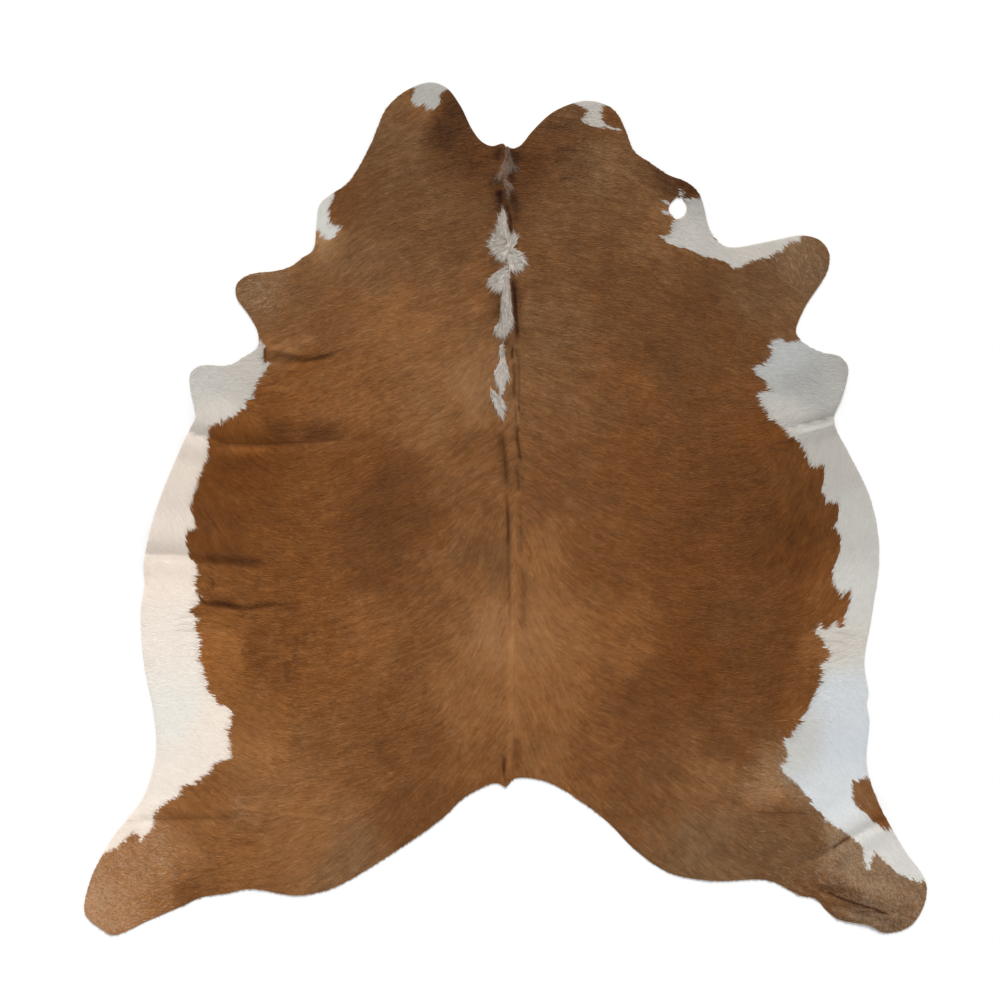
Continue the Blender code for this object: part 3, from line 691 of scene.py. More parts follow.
@dataclass
class HideShape:
    """The laid hide as maps of place: how far in from its cut edges, and how high above the floor.

    The outline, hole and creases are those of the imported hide.
    """

    rim_step: float = 9.0  # spacing of the outline's points
    map_step: float = 5.0
    margin: float = 30.0  # the maps reach this far past the outline's box
    crest_at: float = 0.3  # where a swelling is highest, in parts of its width
    ripple_rise: float = 1.1  # greatest height of the faint unevenness of the sheet
    ripple_size: float = 75.0  # distance between its hills

    def __post_init__(self) -> None:
        """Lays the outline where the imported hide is, and works out the maps."""
        landmarks = [mark for stretch in OUTLINE for mark in stretch.landmarks]
        outline = smooth_line(landmarks, self.rim_step, closed=True)
        low, high = (np.array(corner)[:2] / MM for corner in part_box(HIDE_NODE))
        self.shift = (low + high) / 2 - (outline.min(axis=0) + outline.max(axis=0)) / 2
        hole = smooth_line(WORN_HOLE, self.rim_step / 3, closed=True)
        self.edges = [outline + self.shift, hole + self.shift]
        self.low, self.high = low - self.margin, high + self.margin
        self.inset_map = self.map_of(self.map_step, self._inset)
        self.height_map = self.map_of(self.map_step, self._height)

    def map_of(self, step: float, function: Callable[[Array], Array]) -> FieldMap:
        """A map of a function of place over the whole hide."""
        return FieldMap.filled(self.low, self.high, step, function)

    def noise(self, size: float, seed: int, width: int = 1) -> FieldMap:
        """A map of seeded random numbers, evenly spread between -1 and 1, `size` apart."""
        draw = np.random.default_rng(seed)
        return self.map_of(size, lambda points: draw.uniform(-1.0, 1.0, (len(points), width)))

    def _inset(self, points: Array) -> Array:
        """Works out the inset.

        Args:
            points: One a row.

        Returns:
            Distance from the nearest cut edge, positive on the hide.
        """
        reach = np.minimum.reduce([nearest_on_line(points, edge, closed=True)[:, 0] for edge in self.edges])
        on_hide = inside(points, self.edges[0]) & ~inside(points, self.edges[1])
        return np.where(on_hide, reach, -reach)

    def _swelling(self, distance: Array, rise: float, width: float) -> Array:
        """A swelling's height: a quarter sine up to its crest, then half a cosine wave down to the floor.

        Args:
            distance: From the crease's line.
            rise: Height of the crest.
            width: Distance at which the swelling ends.

        Returns:
            The height at each distance.
        """
        part = np.clip(distance / max(width, 1.0), 0.0, 1.0)
        up = np.sin(math.pi / 2 * part / self.crest_at)
        down = 0.5 + 0.5 * np.cos(math.pi * (part - self.crest_at) / (1.0 - self.crest_at))
        return rise * np.where(part < self.crest_at, up, down)

    def _height(self, points: Array) -> Array:
        """Works out the height: the swellings beside the creases, and a faint ripple between them.

        Args:
            points: One a row.

        Returns:
            Height of the skin's underside above the floor.
        """
        height = np.zeros(len(points))
        for crease in CREASES:
            line = smooth_line(crease.line, self.rim_step, closed=False) + self.shift
            width = max(crease.neck_width, crease.tail_width)
            near = near_line(points, line, width)
            distance, side, along = nearest_on_line(points[near], line, closed=False)[:, :3].T
            neck = self._swelling(distance, crease.neck_rise, crease.neck_width)
            tail = self._swelling(distance, crease.tail_rise, crease.tail_width)
            start = along / crease.left_fade if crease.left_fade else np.ones(len(along))
            end = (line_length(line) - along) / crease.right_fade if crease.right_fade else start
            height[near] += np.where(side > 0.0, neck, tail) * eased(np.minimum(start, end))
        coarse = self.noise(self.ripple_size, SEED).at(points)
        fine = self.noise(self.ripple_size / 2, SEED + 1).at(points)
        return height + self.ripple_rise * np.clip(coarse + 0.5 * fine, 0.0, 1.0)


@dataclass
class CoatChart:
    """What the coat is like at each place: the lay of its hair, its colour, and its lines of painted shade
    and light.

    A value between the named places is the mean of theirs, each weighted by one over the square of
    (the squared distance plus the squared softness).
    """

    shape: HideShape
    softness: float = 38.0  # how far a named place holds its own value
    map_step: float = 10.0
    lay_step: float = 5.0
    streak_step: float = 3.5
    streak_reach: int = 5  # steps that a streak runs each way along the hair
    drift: tuple = ((85.0, 20.0), (30.0, 10.0))  # sizes and amounts by which colour areas wander
    fade: float = 0.25  # share of a stroke over which it fades at each end
    end_part: float = 0.15  # how far into that fade its end is
    brown_map: FieldMap = field(init=False)
    white_map: FieldMap = field(init=False)
    lay_map: FieldMap = field(init=False)
    streak_map: FieldMap = field(init=False)

    def __post_init__(self) -> None:
        """Works out the maps."""
        self.spine = smooth_line(SPINE, self.shape.rim_step, closed=False)
        drifts = [(self.shape.noise(size, SEED + 6 + turn, 2), amount)
                  for turn, (size, amount) in enumerate(self.drift)]
        self.brown_map = self.shape.map_of(self.map_step, lambda points: self._blend(
            points + sum(amount * noise.at(points) for noise, amount in drifts), BROWN_PLACES))
        self.white_map = self.shape.map_of(self.map_step, lambda points: self._blend(points, WHITE_PLACES))
        self.lay_map = self.shape.map_of(self.lay_step, self._lay)
        self.streak_map = self.shape.map_of(self.streak_step, self._streaks)

    def _weights(self, points: Array, places: tuple) -> Array:
        """How much each place counts at each point.

        Args:
            points: One a row.
            places: The named places.

        Returns:
            A row for each point, a column for each place.
        """
        x, y = np.array([(place.x, place.y) for place in places], dtype=float).T
        reach = (points[:, :1] - x) ** 2 + (points[:, 1:] - y) ** 2
        return 1.0 / (reach + self.softness**2) ** 2

    def _blend(self, points: Array, places: tuple) -> Array:
        """The mean look of the places, by their weights.

        Args:
            points: One a row.
            places: The named places.

        Returns:
            Tone, warmth and frost at each point.
        """
        values = np.array([(place.tone, place.warmth, place.frost) for place in places])

        def work(some: Array) -> Array:
            """Does one batch.

            Args:
                some: Its points.

            Returns:
                What is asked of each.
            """
            weights = self._weights(some, places)
            return weights @ values / weights.sum(axis=1, keepdims=True)

        return in_batches(work, points)

    def right_of_spine(self, points: Array) -> Array:
        """Whether each point is to the right of the spine."""
        return points[:, 0] > np.interp(points[:, 1], self.spine[::-1, 1], self.spine[::-1, 0])

    def _lay(self, points: Array) -> Array:
        """Works out the lay. The hair parts at the spine, so each side reads its own places.

        Args:
            points: One a row.

        Returns:
            Unit vectors of the way that the hair lies.
        """
        places = BROWN_PLACES + WHITE_PLACES
        turns = np.radians([place.lay for place in places])
        arrows = np.column_stack([np.cos(turns), np.sin(turns)])
        place_side = self.right_of_spine(np.array([(place.x, place.y) for place in places], dtype=float))

        def work(some: Array) -> Array:
            """Does one batch.

            Args:
                some: Its points.

            Returns:
                What is asked of each.
            """
            same = self.right_of_spine(some)[:, None] == place_side
            arrow = (self._weights(some, places) * same) @ arrows
            return arrow / np.maximum(np.hypot(arrow[:, 0], arrow[:, 1]), 1e-12)[:, None]

        return in_batches(work, points)

    def _streaks(self, points: Array) -> Array:
        """Random numbers drawn out along the hair: the sum of the noise met on a short walk each way.

        Args:
            points: One a row.

        Returns:
            The sum at each, over the spread of all of the sums.
        """
        grain = self.shape.noise(self.streak_step, SEED + 2)
        total = grain.at(points)
        for heading in (1.0, -1.0):
            walker = points.copy()
            for _ in range(self.streak_reach):
                walker += heading * self.streak_step * self.lay_map.at(walker)
                total += grain.at(walker)
        return total / total.std()

    def white(self, points: Array) -> Array:
        """Which patch each point is on. A later patch covers an earlier one.

        Args:
            points: One a row.

        Returns:
            1 where the coat is white, 0 where it is brown.
        """
        share = np.zeros(len(points))
        for patch in PATCHES:
            share[inside(points, np.array(patch.border, dtype=float))] = patch.colouring.value
        return share

    def shade(self, points: Array) -> Array:
        """Painted shade (painted light where negative), with a few marks of the coat: a bell curve across
        each stroke, eased at its ends.

        Args:
            points: One a row.

        Returns:
            The sum of the strokes' shades at each point.
        """
        shade = np.zeros(len(points))
        for stroke in STROKES:
            line = smooth_line(stroke.line, self.shape.rim_step, closed=False)
            near = near_line(points, line, 2.0 * stroke.half_width)
            if not near.any():
                continue
            distance, _, along = nearest_on_line(points[near], line, closed=False)[:, :3].T
            length = line_length(line)
            ends = eased(np.minimum(along, length - along) / (self.fade * length) + self.end_part)
            shade[near] += stroke.shade * np.exp(-((distance / stroke.half_width) ** 2)) * ends
        return shade


def mesh_from(name: str, points: Array, triangles: Array) -> bpy.types.Mesh:
    """A mesh of triangles.

    Args:
        name: The mesh's name.
        points: Its vertices in millimetres, one a row.
        triangles: Three vertex numbers a row, counter-clockwise seen from outside.

    Returns:
        The mesh, smooth shaded.
    """
    mesh = bpy.data.meshes.new(name)
    mesh.vertices.add(len(points))
    mesh.vertices.foreach_set("co", (points * MM).astype(np.float32).ravel())
    mesh.loops.add(triangles.size)
    mesh.loops.foreach_set("vertex_index", triangles.astype(np.int32).ravel())
    mesh.polygons.add(len(triangles))
    mesh.polygons.foreach_set("loop_start", np.arange(0, triangles.size, 3, dtype=np.int32))
    mesh.update(calc_edges=True)
    mesh.shade_smooth()
    return mesh


def write_attribute(mesh: bpy.types.Mesh, name: str, values: Array) -> None:
    """Stores three numbers for each vertex under a name that materials read."""
    attribute = mesh.attributes.new(name, "FLOAT_VECTOR", "POINT")
    attribute.data.foreach_set("vector", values.astype(np.float32).ravel())


def write_bake_map(mesh: bpy.types.Mesh, place: Array) -> None:
    """Stores a UV map under the name held in BAKE_MAP.

    Args:
        mesh: The mesh.
        place: A place on the map for each vertex, 0 to 1 each way.
    """
    corner = np.empty(len(mesh.loops), dtype=np.int32)
    mesh.loops.foreach_get("vertex_index", corner)
    mesh.uv_layers.new(name=BAKE_MAP).uv.foreach_set("vector", place[corner].astype(np.float32).ravel())


def make_piece(mesh: bpy.types.Mesh) -> bpy.types.Object:
    """Puts a mesh into the scene as a piece of the hide.

    Args:
        mesh: The mesh, whose name the piece takes.

    Returns:
        The piece.
    """
    piece = bpy.data.objects.new(mesh.name, mesh)
    bpy.context.scene.collection.objects.link(piece)
    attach(piece, BODY)
    log.info("%s: %d triangles", piece.name, len(mesh.polygons))
    return piece


@dataclass
class Paint:
    """What the coat's materials read at each point."""

    brown: Array  # tone, warmth, streak
    white: Array  # share of white, brightness, warmth
    painted_shade_frost: Array  # painted shade (painted light where below 0), frost, share of the way from a hair's root to its tip
    grain: Array  # across and along the lock, and a number of its own

    def write(self, mesh: bpy.types.Mesh) -> None:
        """Stores the four sets on a mesh's vertices."""
        for name, values in (("brown_hair", self.brown), ("white_hair", self.white),
                             ("hair_wear", self.painted_shade_frost), ("hair_grain", self.grain)):
            write_attribute(mesh, name, values)


@dataclass
class HideSkin:
    """The skin: one closed sheet, cut to the outline, with the flesh side down and a pale cut edge."""

    shape: HideShape
    chart: CoatChart
    cell: float = 10.0
    full: float = 2.3  # thickness on the field
    rim: float = 1.5  # thickness at the cut edge
    rim_width: float = 9.0
    sharp_angle: float = 50.0  # degrees from which a corner of the sheet looks sharp

    def grid(self) -> tuple[Array, Array]:
        """The sheet's plan: a square grid whose outermost points are moved to the nearest cut edge.

        Returns:
            The points, and the four corners of each cell, counter-clockwise.
        """
        low, high = self.shape.low, self.shape.high
        columns, rows = (np.arange(start, end, self.cell) for start, end in zip(low, high))
        points = np.stack(np.meshgrid(columns, rows), axis=-1).reshape(-1, 2)
        number = np.arange(len(points)).reshape(len(rows), len(columns))
        corners = np.stack([number[:-1, :-1], number[:-1, 1:], number[1:, 1:], number[1:, :-1]], axis=-1)
        kept = self.shape.inset_map.at(points[corners].mean(axis=2).reshape(-1, 2)) > 0
        cells = corners.reshape(-1, 4)[kept]
        used, cells = np.unique(cells, return_inverse=True)
        cells = cells.reshape(-1, 4)
        plan = points[used]
        border = np.bincount(cells.ravel(), minlength=len(plan)) < 4
        found = [nearest_on_line(plan[border], edge, closed=True) for edge in self.shape.edges]
        first_is_nearer = (found[0][:, 0] <= found[1][:, 0])[:, None]
        plan[border] = np.where(first_is_nearer, found[0][:, 3:], found[1][:, 3:])
        return plan, cells

    def thickness(self, plan: Array) -> Array:
        """Thickness of the skin: full on the field, a quarter sine down to the rim's at the cut edges."""
        share = np.clip(self.shape.inset_map.at(plan) / self.rim_width, 0.0, 1.0)
        return self.rim + (self.full - self.rim) * np.sin(share * math.pi / 2)

    def top(self, points: Array) -> Array:
        """Height of the skin's hair side above the floor."""
        return self.shape.height_map.at(points) + self.thickness(points)

    def build(self, materials: list) -> bpy.types.Object:
        """The skin as a piece.

        Args:
            materials: The hair side's, the flesh side's and the cut edge's, in that order.

        Returns:
            The piece.
        """
        plan, cells = self.grid()
        count = len(plan)
        low = self.shape.height_map.at(plan)
        high = low + self.thickness(plan)
        points = np.vstack([np.column_stack([plan, high]), np.column_stack([plan, low])])
        halves = np.vstack([cells[:, [0, 1, 2]], cells[:, [0, 2, 3]]])
        sides = np.vstack([cells[:, [i, (i + 1) % 4]] for i in range(4)])
        codes = sides[:, 0] * count + sides[:, 1]
        rim = sides[~np.isin(codes, sides[:, 1] * count + sides[:, 0])]
        walls = np.vstack([np.column_stack([rim[:, 0] + count, rim[:, 1] + count, rim[:, 1]]),
                           np.column_stack([rim[:, 0] + count, rim[:, 1], rim[:, 0]])])
        triangles = np.vstack([halves, halves[:, ::-1] + count, walls])
        mesh = mesh_from("hide_skin", points, triangles)
        index = np.repeat([0, 1, 2], [len(halves), len(halves), len(walls)]).astype(np.int32)
        for material in materials:
            mesh.materials.append(material)
        mesh.polygons.foreach_set("material_index", index)
        mesh.set_sharp_from_angle(angle=math.radians(self.sharp_angle))
        brown, white = self.chart.brown_map.at(plan), self.chart.white_map.at(plan)
        streak = self.chart.streak_map.at(plan)
        share = self.chart.white(plan)
        none = np.zeros(count)
        # the hair side carries the strokes' painted shade and light as well
        paint = Paint(np.column_stack([brown[:, :2], streak]), np.column_stack([share, white[:, :2]]),
                      np.column_stack([self.chart.shade(plan), brown[:, 2], none]),
                      np.column_stack([plan, none]))
        both = Paint(*(np.vstack([values, values]) for values in vars(paint).values()))
        both.write(mesh)
        spread = (plan - self.shape.low) / (self.shape.high - self.shape.low)
        halved = spread * (0.5, 1.0)
        write_bake_map(mesh, np.vstack([halved, halved + (0.5, 0.0)]))
        piece = make_piece(mesh)
        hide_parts(HIDE_NODE)
        return piece

    def declare(self) -> None:
        """Works out the area of the hide's flat sheet without the hole, and does nothing more with it.
        """
        outline, hole = self.shape.edges
        area = (area_within(outline) - area_within(hole)) * MM**2


@dataclass
class Locks:
    """A set of locks of hair, an entry or a row for each."""

    root: Array
    heading: Array
    length: Array
    width: Array
    lift: Array  # height of the tip above the skin
    bend: Array  # how far the tip swings to the side, in parts of the length
    roll: Array  # turn about its own line, in radians
    seed: Array  # a number of its own, 0 to 1

    def at(self, share: float) -> Array:
        """The place on each lock's line: straight on, plus a swing to the side by the square of the share.

        Args:
            share: Of the way from the root to the tip.

        Returns:
            The places, one a row.
        """
        side = np.column_stack([-self.heading[:, 1], self.heading[:, 0]])
        ahead = (self.length * share)[:, None]
        return self.root + ahead * self.heading + ahead * share * self.bend[:, None] * side


@dataclass
class HairCoat:
    """The short coat: locks rooted evenly over the hide, in one piece for each quarter of it."""

    shape: HideShape
    chart: CoatChart
    skin: HideSkin
    spacing: float = 3.95
    root_inset: float = 0.8  # least distance of a root from a cut edge
    length: float = 18.0
    length_spread: tuple = (0.75, 1.2)  # least and greatest, in parts of the length
    shortest: float = 0.12  # least share of it that a lock keeps at a cut edge
    width: float = 2.3
    width_spread: tuple = (0.75, 1.25)
    root_width: float = 0.8  # width at the root, in parts of the widest
    taper: float = 1.6  # power of the share by which a lock narrows
    # painted shade at the root of each lock, where the locks about it would shade it
    root_shade: float = 0.15
    lift: float = 1.7
    lift_spread: tuple = (0.35, 1.0)
    lift_power: float = 1.5  # above 1, more of the locks lie low
    bend: float = 0.12  # usual swing of a tip to the side, in parts of the length
    roll: float = 0.16  # usual turn about its own line, in radians
    stray: float = 7.0  # degrees that a lock strays from the lay
    clump_size: float = 24.0  # distance over which locks lean the same way
    clump_turn: float = 6.0  # degrees that they lean
    overhang: float = 1.6  # how far past the cut edge a tip may reach
    border_reach: float = 0.5  # share of a lock's length at which its patch is read
    border_tuft: float = 7.0  # size of the tufts along the border of a patch
    border_wander: float = 3.0  # how far they carry it
    border_spikes: float = 5.5  # and how far along the hair
    own_tone: float = 2.5  # how far a lock's tone strays from its streak's
    white_calm: float = 0.6  # how much flatter white hair lies
    least_frost: float = 0.08  # a share of pale hairs that is too small to count
    frizz_turn: float = 70.0  # degrees that a lock strays for being among pale hairs
    frizz_curl: float = 0.7  # share of its length that it loses
    frost_draw: float = 7.0  # turns a lock's own number into the one that its frost is drawn by
    grain_gap: float = 100.0  # distance between two locks' places in the hair noise, at most
    base: float = 0.15  # height of a root above the skin
    stations: tuple = (0.0, 0.5, 1.0)
    quarter_y: float = -130.0  # where the neck and tail quarters meet

    def roots(self, low: Array, high: Array) -> Array:
        """Roots on staggered rows, each moved at random by up to a third of the spacing.

        Args:
            low: Lowest corner of the box that they fill.
            high: Highest corner.

        Returns:
            Those that are on the hide, one a row.
        """
        draw = np.random.default_rng(SEED + 3)
        rows = np.arange(low[1], high[1], self.spacing * math.sqrt(0.75))
        columns = np.arange(low[0], high[0], self.spacing)
        x, y = np.meshgrid(columns, rows)
        x = x + (np.arange(len(rows)) % 2)[:, None] * self.spacing / 2
        points = np.column_stack([x.ravel(), y.ravel()])
        points += draw.uniform(-self.spacing / 3, self.spacing / 3, points.shape)
        return points[self.shape.inset_map.at(points) > self.root_inset]

    def locks(self, roots: Array, seed: int) -> Locks:
        """A lock at each root, laid along the coat and kept on the hide.

        Args:
            roots: The roots, one a row.
            seed: Starts the random draws.

        Returns:
            The locks.
        """
        draw = np.random.default_rng(seed)
        count = len(roots)
        lean = self.shape.noise(self.clump_size, SEED + 4).at(roots)
        frizz = self.chart.brown_map.at(roots)[:, 2] * (1.0 - self.chart.white(roots))
        turn = np.radians(draw.normal(0.0, self.stray + self.frizz_turn * frizz) + self.clump_turn * lean)
        lay = self.chart.lay_map.at(roots)
        heading = np.column_stack([lay[:, 0] * np.cos(turn) - lay[:, 1] * np.sin(turn),
                                   lay[:, 0] * np.sin(turn) + lay[:, 1] * np.cos(turn)])
        made = Locks(root=roots, heading=heading,
                     length=self.length * draw.uniform(*self.length_spread, count),
                     width=self.width * draw.uniform(*self.width_spread, count),
                     lift=self.lift * draw.uniform(*self.lift_spread, count) ** self.lift_power,
                     bend=draw.normal(0.0, self.bend, count), roll=draw.normal(0.0, self.roll, count),
                     seed=draw.uniform(0.0, 1.0, count))
        calm = 1.0 - self.white_calm * self.chart.white(roots)
        made.lift, made.roll = made.lift * calm, made.roll * calm
        made.length = made.length * (1.0 - self.frizz_curl * frizz)
        return self.trimmed(made)

    def trimmed(self, locks: Locks) -> Locks:
        """Shortens the locks whose tips would reach too far past a cut edge.

        Args:
            locks: The locks, which it changes.

        Returns:
            The same locks.
        """
        start, end = self.shape.inset_map.at(locks.root), self.shape.inset_map.at(locks.at(1.0))
        room = (start + self.overhang) / np.maximum(start - end, 1e-6)
        kept = np.where(end < -self.overhang, np.clip(room, self.shortest, 1.0), 1.0)
        locks.length = locks.length * kept
        return locks

    def paint(self, locks: Locks) -> tuple:
        """What each lock's material reads, from where its middle lies.

        Args:
            locks: The locks.

        Returns:
            Rows of tone, warmth, streak; of white, brightness, warmth; and the frost.
        """
        middle = locks.at(self.border_reach)
        ragged = self.shape.noise(self.border_tuft, SEED + 5, 3).at(locks.root)
        wander = self.border_wander * ragged[:, :2] + self.border_spikes * ragged[:, 2:] * locks.heading
        brown, white = self.chart.brown_map.at(middle), self.chart.white_map.at(middle)
        share = self.chart.white(middle + wander)
        streak = self.chart.streak_map.at(middle) + self.own_tone * (locks.seed - 0.5)
        frost = np.where(locks.seed * self.frost_draw % 1.0 < brown[:, 2] - self.least_frost, 1.0, 0.0)
        return np.column_stack([brown[:, :2], streak]), np.column_stack([share, white[:, :2]]), frost

    def rise(self, share: float) -> float:
        """Height at a share of a lock's length, in parts of its lift: the share to the power 0.7."""
        return share**0.7

    def mesh(self, name: str, locks: Locks) -> bpy.types.Mesh:
        """The locks as blades in one mesh.

        A blade's width at a station is its widest times the square root of (1 less the share to the power of
        the taper), or a fixed part of it at the root. It stands its lift times its rise above the skin. The
        last station is the tip, one point.

        Args:
            name: The mesh's name.
            locks: The locks.

        Returns:
            The mesh.
        """
        count = len(locks.root)
        rings = []
        shares = []
        shades = []
        for share in self.stations:
            centre = locks.at(share)
            # the chart's painted shade, and more painted shade towards the root
            shade = self.chart.shade(centre) + self.root_shade * (1.0 - share) ** 2
            height = self.skin.top(centre) + self.base + locks.lift * self.rise(share)
            line = np.column_stack([centre, height])
            if share < 1.0:
                part = math.sqrt(1.0 - share**self.taper) if share > 0 else self.root_width
                half = locks.width / 2 * part
                side = np.column_stack([-locks.heading[:, 1] * np.cos(locks.roll),
                                        locks.heading[:, 0] * np.cos(locks.roll), np.sin(locks.roll)])
                rings += [line + half[:, None] * side, line - half[:, None] * side]
                shares += [(share, 1.0), (share, -1.0)]
                shades += [shade, shade]
            else:
                rings.append(line)
                shares.append((1.0, 0.0))
                shades.append(shade)
        points = np.stack(rings, axis=1).reshape(-1, 3)
        each = len(rings)
        pattern = []
        for first in range(0, each - 3, 2):
            pattern += [(first, first + 1, first + 3), (first, first + 3, first + 2)]
        pattern.append((each - 3, each - 2, each - 1))
        triangles = (np.arange(count)[:, None, None] * each + np.array(pattern)).reshape(-1, 3)
        mesh = mesh_from(name, points, triangles)
        along, across = (np.tile(column, count) for column in np.array(shares).T)
        brown, white, frost = (np.repeat(values, each, axis=0) for values in self.paint(locks))
        length, width, seed = (np.repeat(values, each) for values in (locks.length, locks.width, locks.seed))
        Paint(brown, white, np.column_stack([np.stack(shades, axis=1).ravel(), frost, along]),
              np.column_stack([across * width / 2, along * length, seed * self.grain_gap])).write(mesh)
        low, high = points[:, :2].min(axis=0), points[:, :2].max(axis=0)
        write_bake_map(mesh, (points[:, :2] - low) / (high - low))
        return mesh

    def piece(self, name: str, locks: Locks, material: bpy.types.Material) -> bpy.types.Object:
        """Makes a piece of a set of locks.

        Args:
            name: The piece's name.
            locks: The locks.
            material: The hair's.

        Returns:
            The piece.
        """
        mesh = self.mesh(name, locks)
        mesh.materials.append(material)
        return make_piece(mesh)

    def build(self, material: bpy.types.Material) -> list:
        """The coat's pieces, one for each quarter of the hide.

        Args:
            material: The hair's.

        Returns:
            The pieces.
        """
        roots = self.roots(self.shape.low, self.shape.high)
        right = self.chart.right_of_spine(roots)
        neck = roots[:, 1] > self.quarter_y
        quarters = (("coat_neck_left", neck & ~right), ("coat_neck_right", neck & right),
                    ("coat_tail_left", ~neck & ~right), ("coat_tail_right", ~neck & right))
        return [self.piece(name, self.locks(roots[pick], SEED + 10 + number), material)
                for number, (name, pick) in enumerate(quarters)]


@dataclass
class LongTufts(HairCoat):
    """The long loose pale hair of the parting, one piece for each tuft.

    Each lock points away from its tuft's whorl. It ends near the tuft's border, or runs past it as a spike.
    """

    spacing: float = 1.9
    length: float = 34.0
    width: float = 1.5
    lift: float = 6.0
    stray: float = 17.0
    clump_size: float = 7.0
    clump_turn: float = 18.0
    stations: tuple = (0.0, 0.35, 0.7, 1.0)
    # painted shade at the roots of the tuft's hair
    root_shade: float = 0.2
    brightness_spread: float = 0.24
    strand_size: float = 4.0  # size of the strands that its hair gathers in
    strand_spread: float = 0.22  # how far their brightness strays
    thin_border: float = 8.0  # width of the border where its hair is thin
    tan_spread: float = 0.3  # how far a lock's share of brown strays from its tuft's
    border_share: float = 0.4  # share of the locks that grow at the border itself
    tan_draw: float = 5.0  # turns a lock's own number into the one that its brown is drawn by
    draw_in: float = 0.6  # how far the roots are drawn in to the whorl, in parts of their distance
    draw_limit: float = 11.0  # and at most
    draw_least: float = 0.3  # least part of that pull
    first_step: float = 0.2  # least share of a lock that is tried for its way to the border
    steps: int = 9
    reach: tuple = (0.5, 1.65)  # where tips end, in parts of the way to the border
    tuft: Tuft = TUFTS[0]  # the one being built

    def rise(self, share: float) -> float:
        """Height at a share of a lock's length: the sine of 0.8 half turns times the share."""
        return math.sin(math.pi * 0.8 * share)

    def tuft_locks(self, seed: int) -> Locks:
        """The locks of the tuft that is being built.

        Args:
            seed: Starts the random draws.

        Returns:
            The locks.
        """
        border = np.array(self.tuft.border, dtype=float)
        roots = self.roots(border.min(axis=0), border.max(axis=0))
        roots = roots[inside(roots, border)]
        draw = np.random.default_rng(seed + 50)
        depth = nearest_on_line(roots, border, closed=True)[:, 0] / self.thin_border
        thick = self.border_share + (1.0 - self.border_share) * eased(depth)
        made = self.locks(roots[draw.uniform(0.0, 1.0, len(roots)) < thick], seed)
        count = len(made.root)
        away = made.root - np.array(self.tuft.whorl)
        distance = np.maximum(np.hypot(away[:, 0], away[:, 1]), 1e-6)
        pull = np.minimum(self.draw_in * distance, self.draw_limit)
        pull = pull * draw.uniform(self.draw_least, 1.0, count)
        made.root = made.root - away * (pull / distance)[:, None]
        clump = self.shape.noise(self.clump_size, SEED + 9).at(made.root)
        turn = (np.arctan2(away[:, 1], away[:, 0]) + np.radians(self.clump_turn) * clump
                + np.radians(self.stray) * draw.normal(0.0, 1.0, count))
        made.heading = np.column_stack([np.cos(turn), np.sin(turn)])
        steps = np.linspace(self.first_step, 1.0, self.steps)
        within = np.array([inside(made.at(step), border) for step in steps])
        longest = np.where(within, steps[:, None], self.first_step).max(axis=0)
        nearest, farthest = self.reach
        share = nearest + (farthest - nearest) * draw.uniform(0.0, 1.0, count) ** 2
        made.length = made.length * longest * share
        return made

    def paint(self, locks: Locks) -> tuple:
        """As the coat's, but white, as bright and as tan as the tuft.

        Args:
            locks: The locks.

        Returns:
            Rows of tone, warmth, streak; of white, brightness, warmth; and no frost.
        """
        brown, white, frost = super().paint(locks)
        tan = self.tuft.tan + self.tan_spread * (locks.seed * self.tan_draw % 1.0 - 0.5)
        white[:, 0] = 1.0 - np.clip(tan, 0.0, 1.0)
        strand = self.shape.noise(self.strand_size, SEED + 8).at(locks.at(0.5))
        own = self.brightness_spread * (locks.seed - 0.5) + self.strand_spread * strand
        white[:, 1] = np.clip(self.tuft.brightness + own, 0.0, 1.0)
        return brown, white, np.zeros_like(frost)

    def build(self, material: bpy.types.Material) -> list:
        """A piece for each tuft.

        Args:
            material: The hair's.

        Returns:
            The pieces.
        """
        pieces = []
        for number, tuft in enumerate(TUFTS):
            self.tuft = tuft
            name = tuft.name.replace(",", "").replace(" ", "_")
            pieces.append(self.piece(name, self.tuft_locks(SEED + 20 + number), material))
        return pieces


@dataclass
class LineHair(HairCoat):
    """Short fine hair along the narrow strokes of painted shade and light, for which the coat's own locks are
    too long.
    """

    spacing: float = 1.85
    length: float = 7.0
    width: float = 1.6
    base: float = 0.9
    lift: float = 1.1
    root_shade: float = 0.0
    widest: float = 6.6  # greatest half width of a line that gets such hair
    spread: float = 1.4  # how far from the line it is rooted, in half widths

    def build(self, material: bpy.types.Material) -> list:
        """One piece along all of the lines.

        Args:
            material: The hair's.

        Returns:
            The piece, in a list.
        """
        runs = []
        for stroke in STROKES:
            if stroke.half_width > self.widest:
                continue
            line = smooth_line(stroke.line, self.shape.rim_step, closed=False)
            reach = self.spread * stroke.half_width
            roots = self.roots(line.min(axis=0) - reach, line.max(axis=0) + reach)
            runs.append(roots[nearest_on_line(roots, line, closed=False)[:, 0] < reach])
        return [self.piece("coat_lines", self.locks(np.vstack(runs), SEED + 40), material)]


def light_share(value: int) -> float:
    """The light of a screen value from 0 to 255, by the sRGB curve: a straight foot, then a power of 2.4."""
    part = value / 255
    return part / 12.92 if part <= 0.04045 else ((part + 0.055) / 1.055) ** 2.4


def linear(red: int, green: int, blue: int) -> tuple:
    """A colour given as it looks on a screen, as the linear values that a shader takes."""
    return (light_share(red), light_share(green), light_share(blue), 1.0)


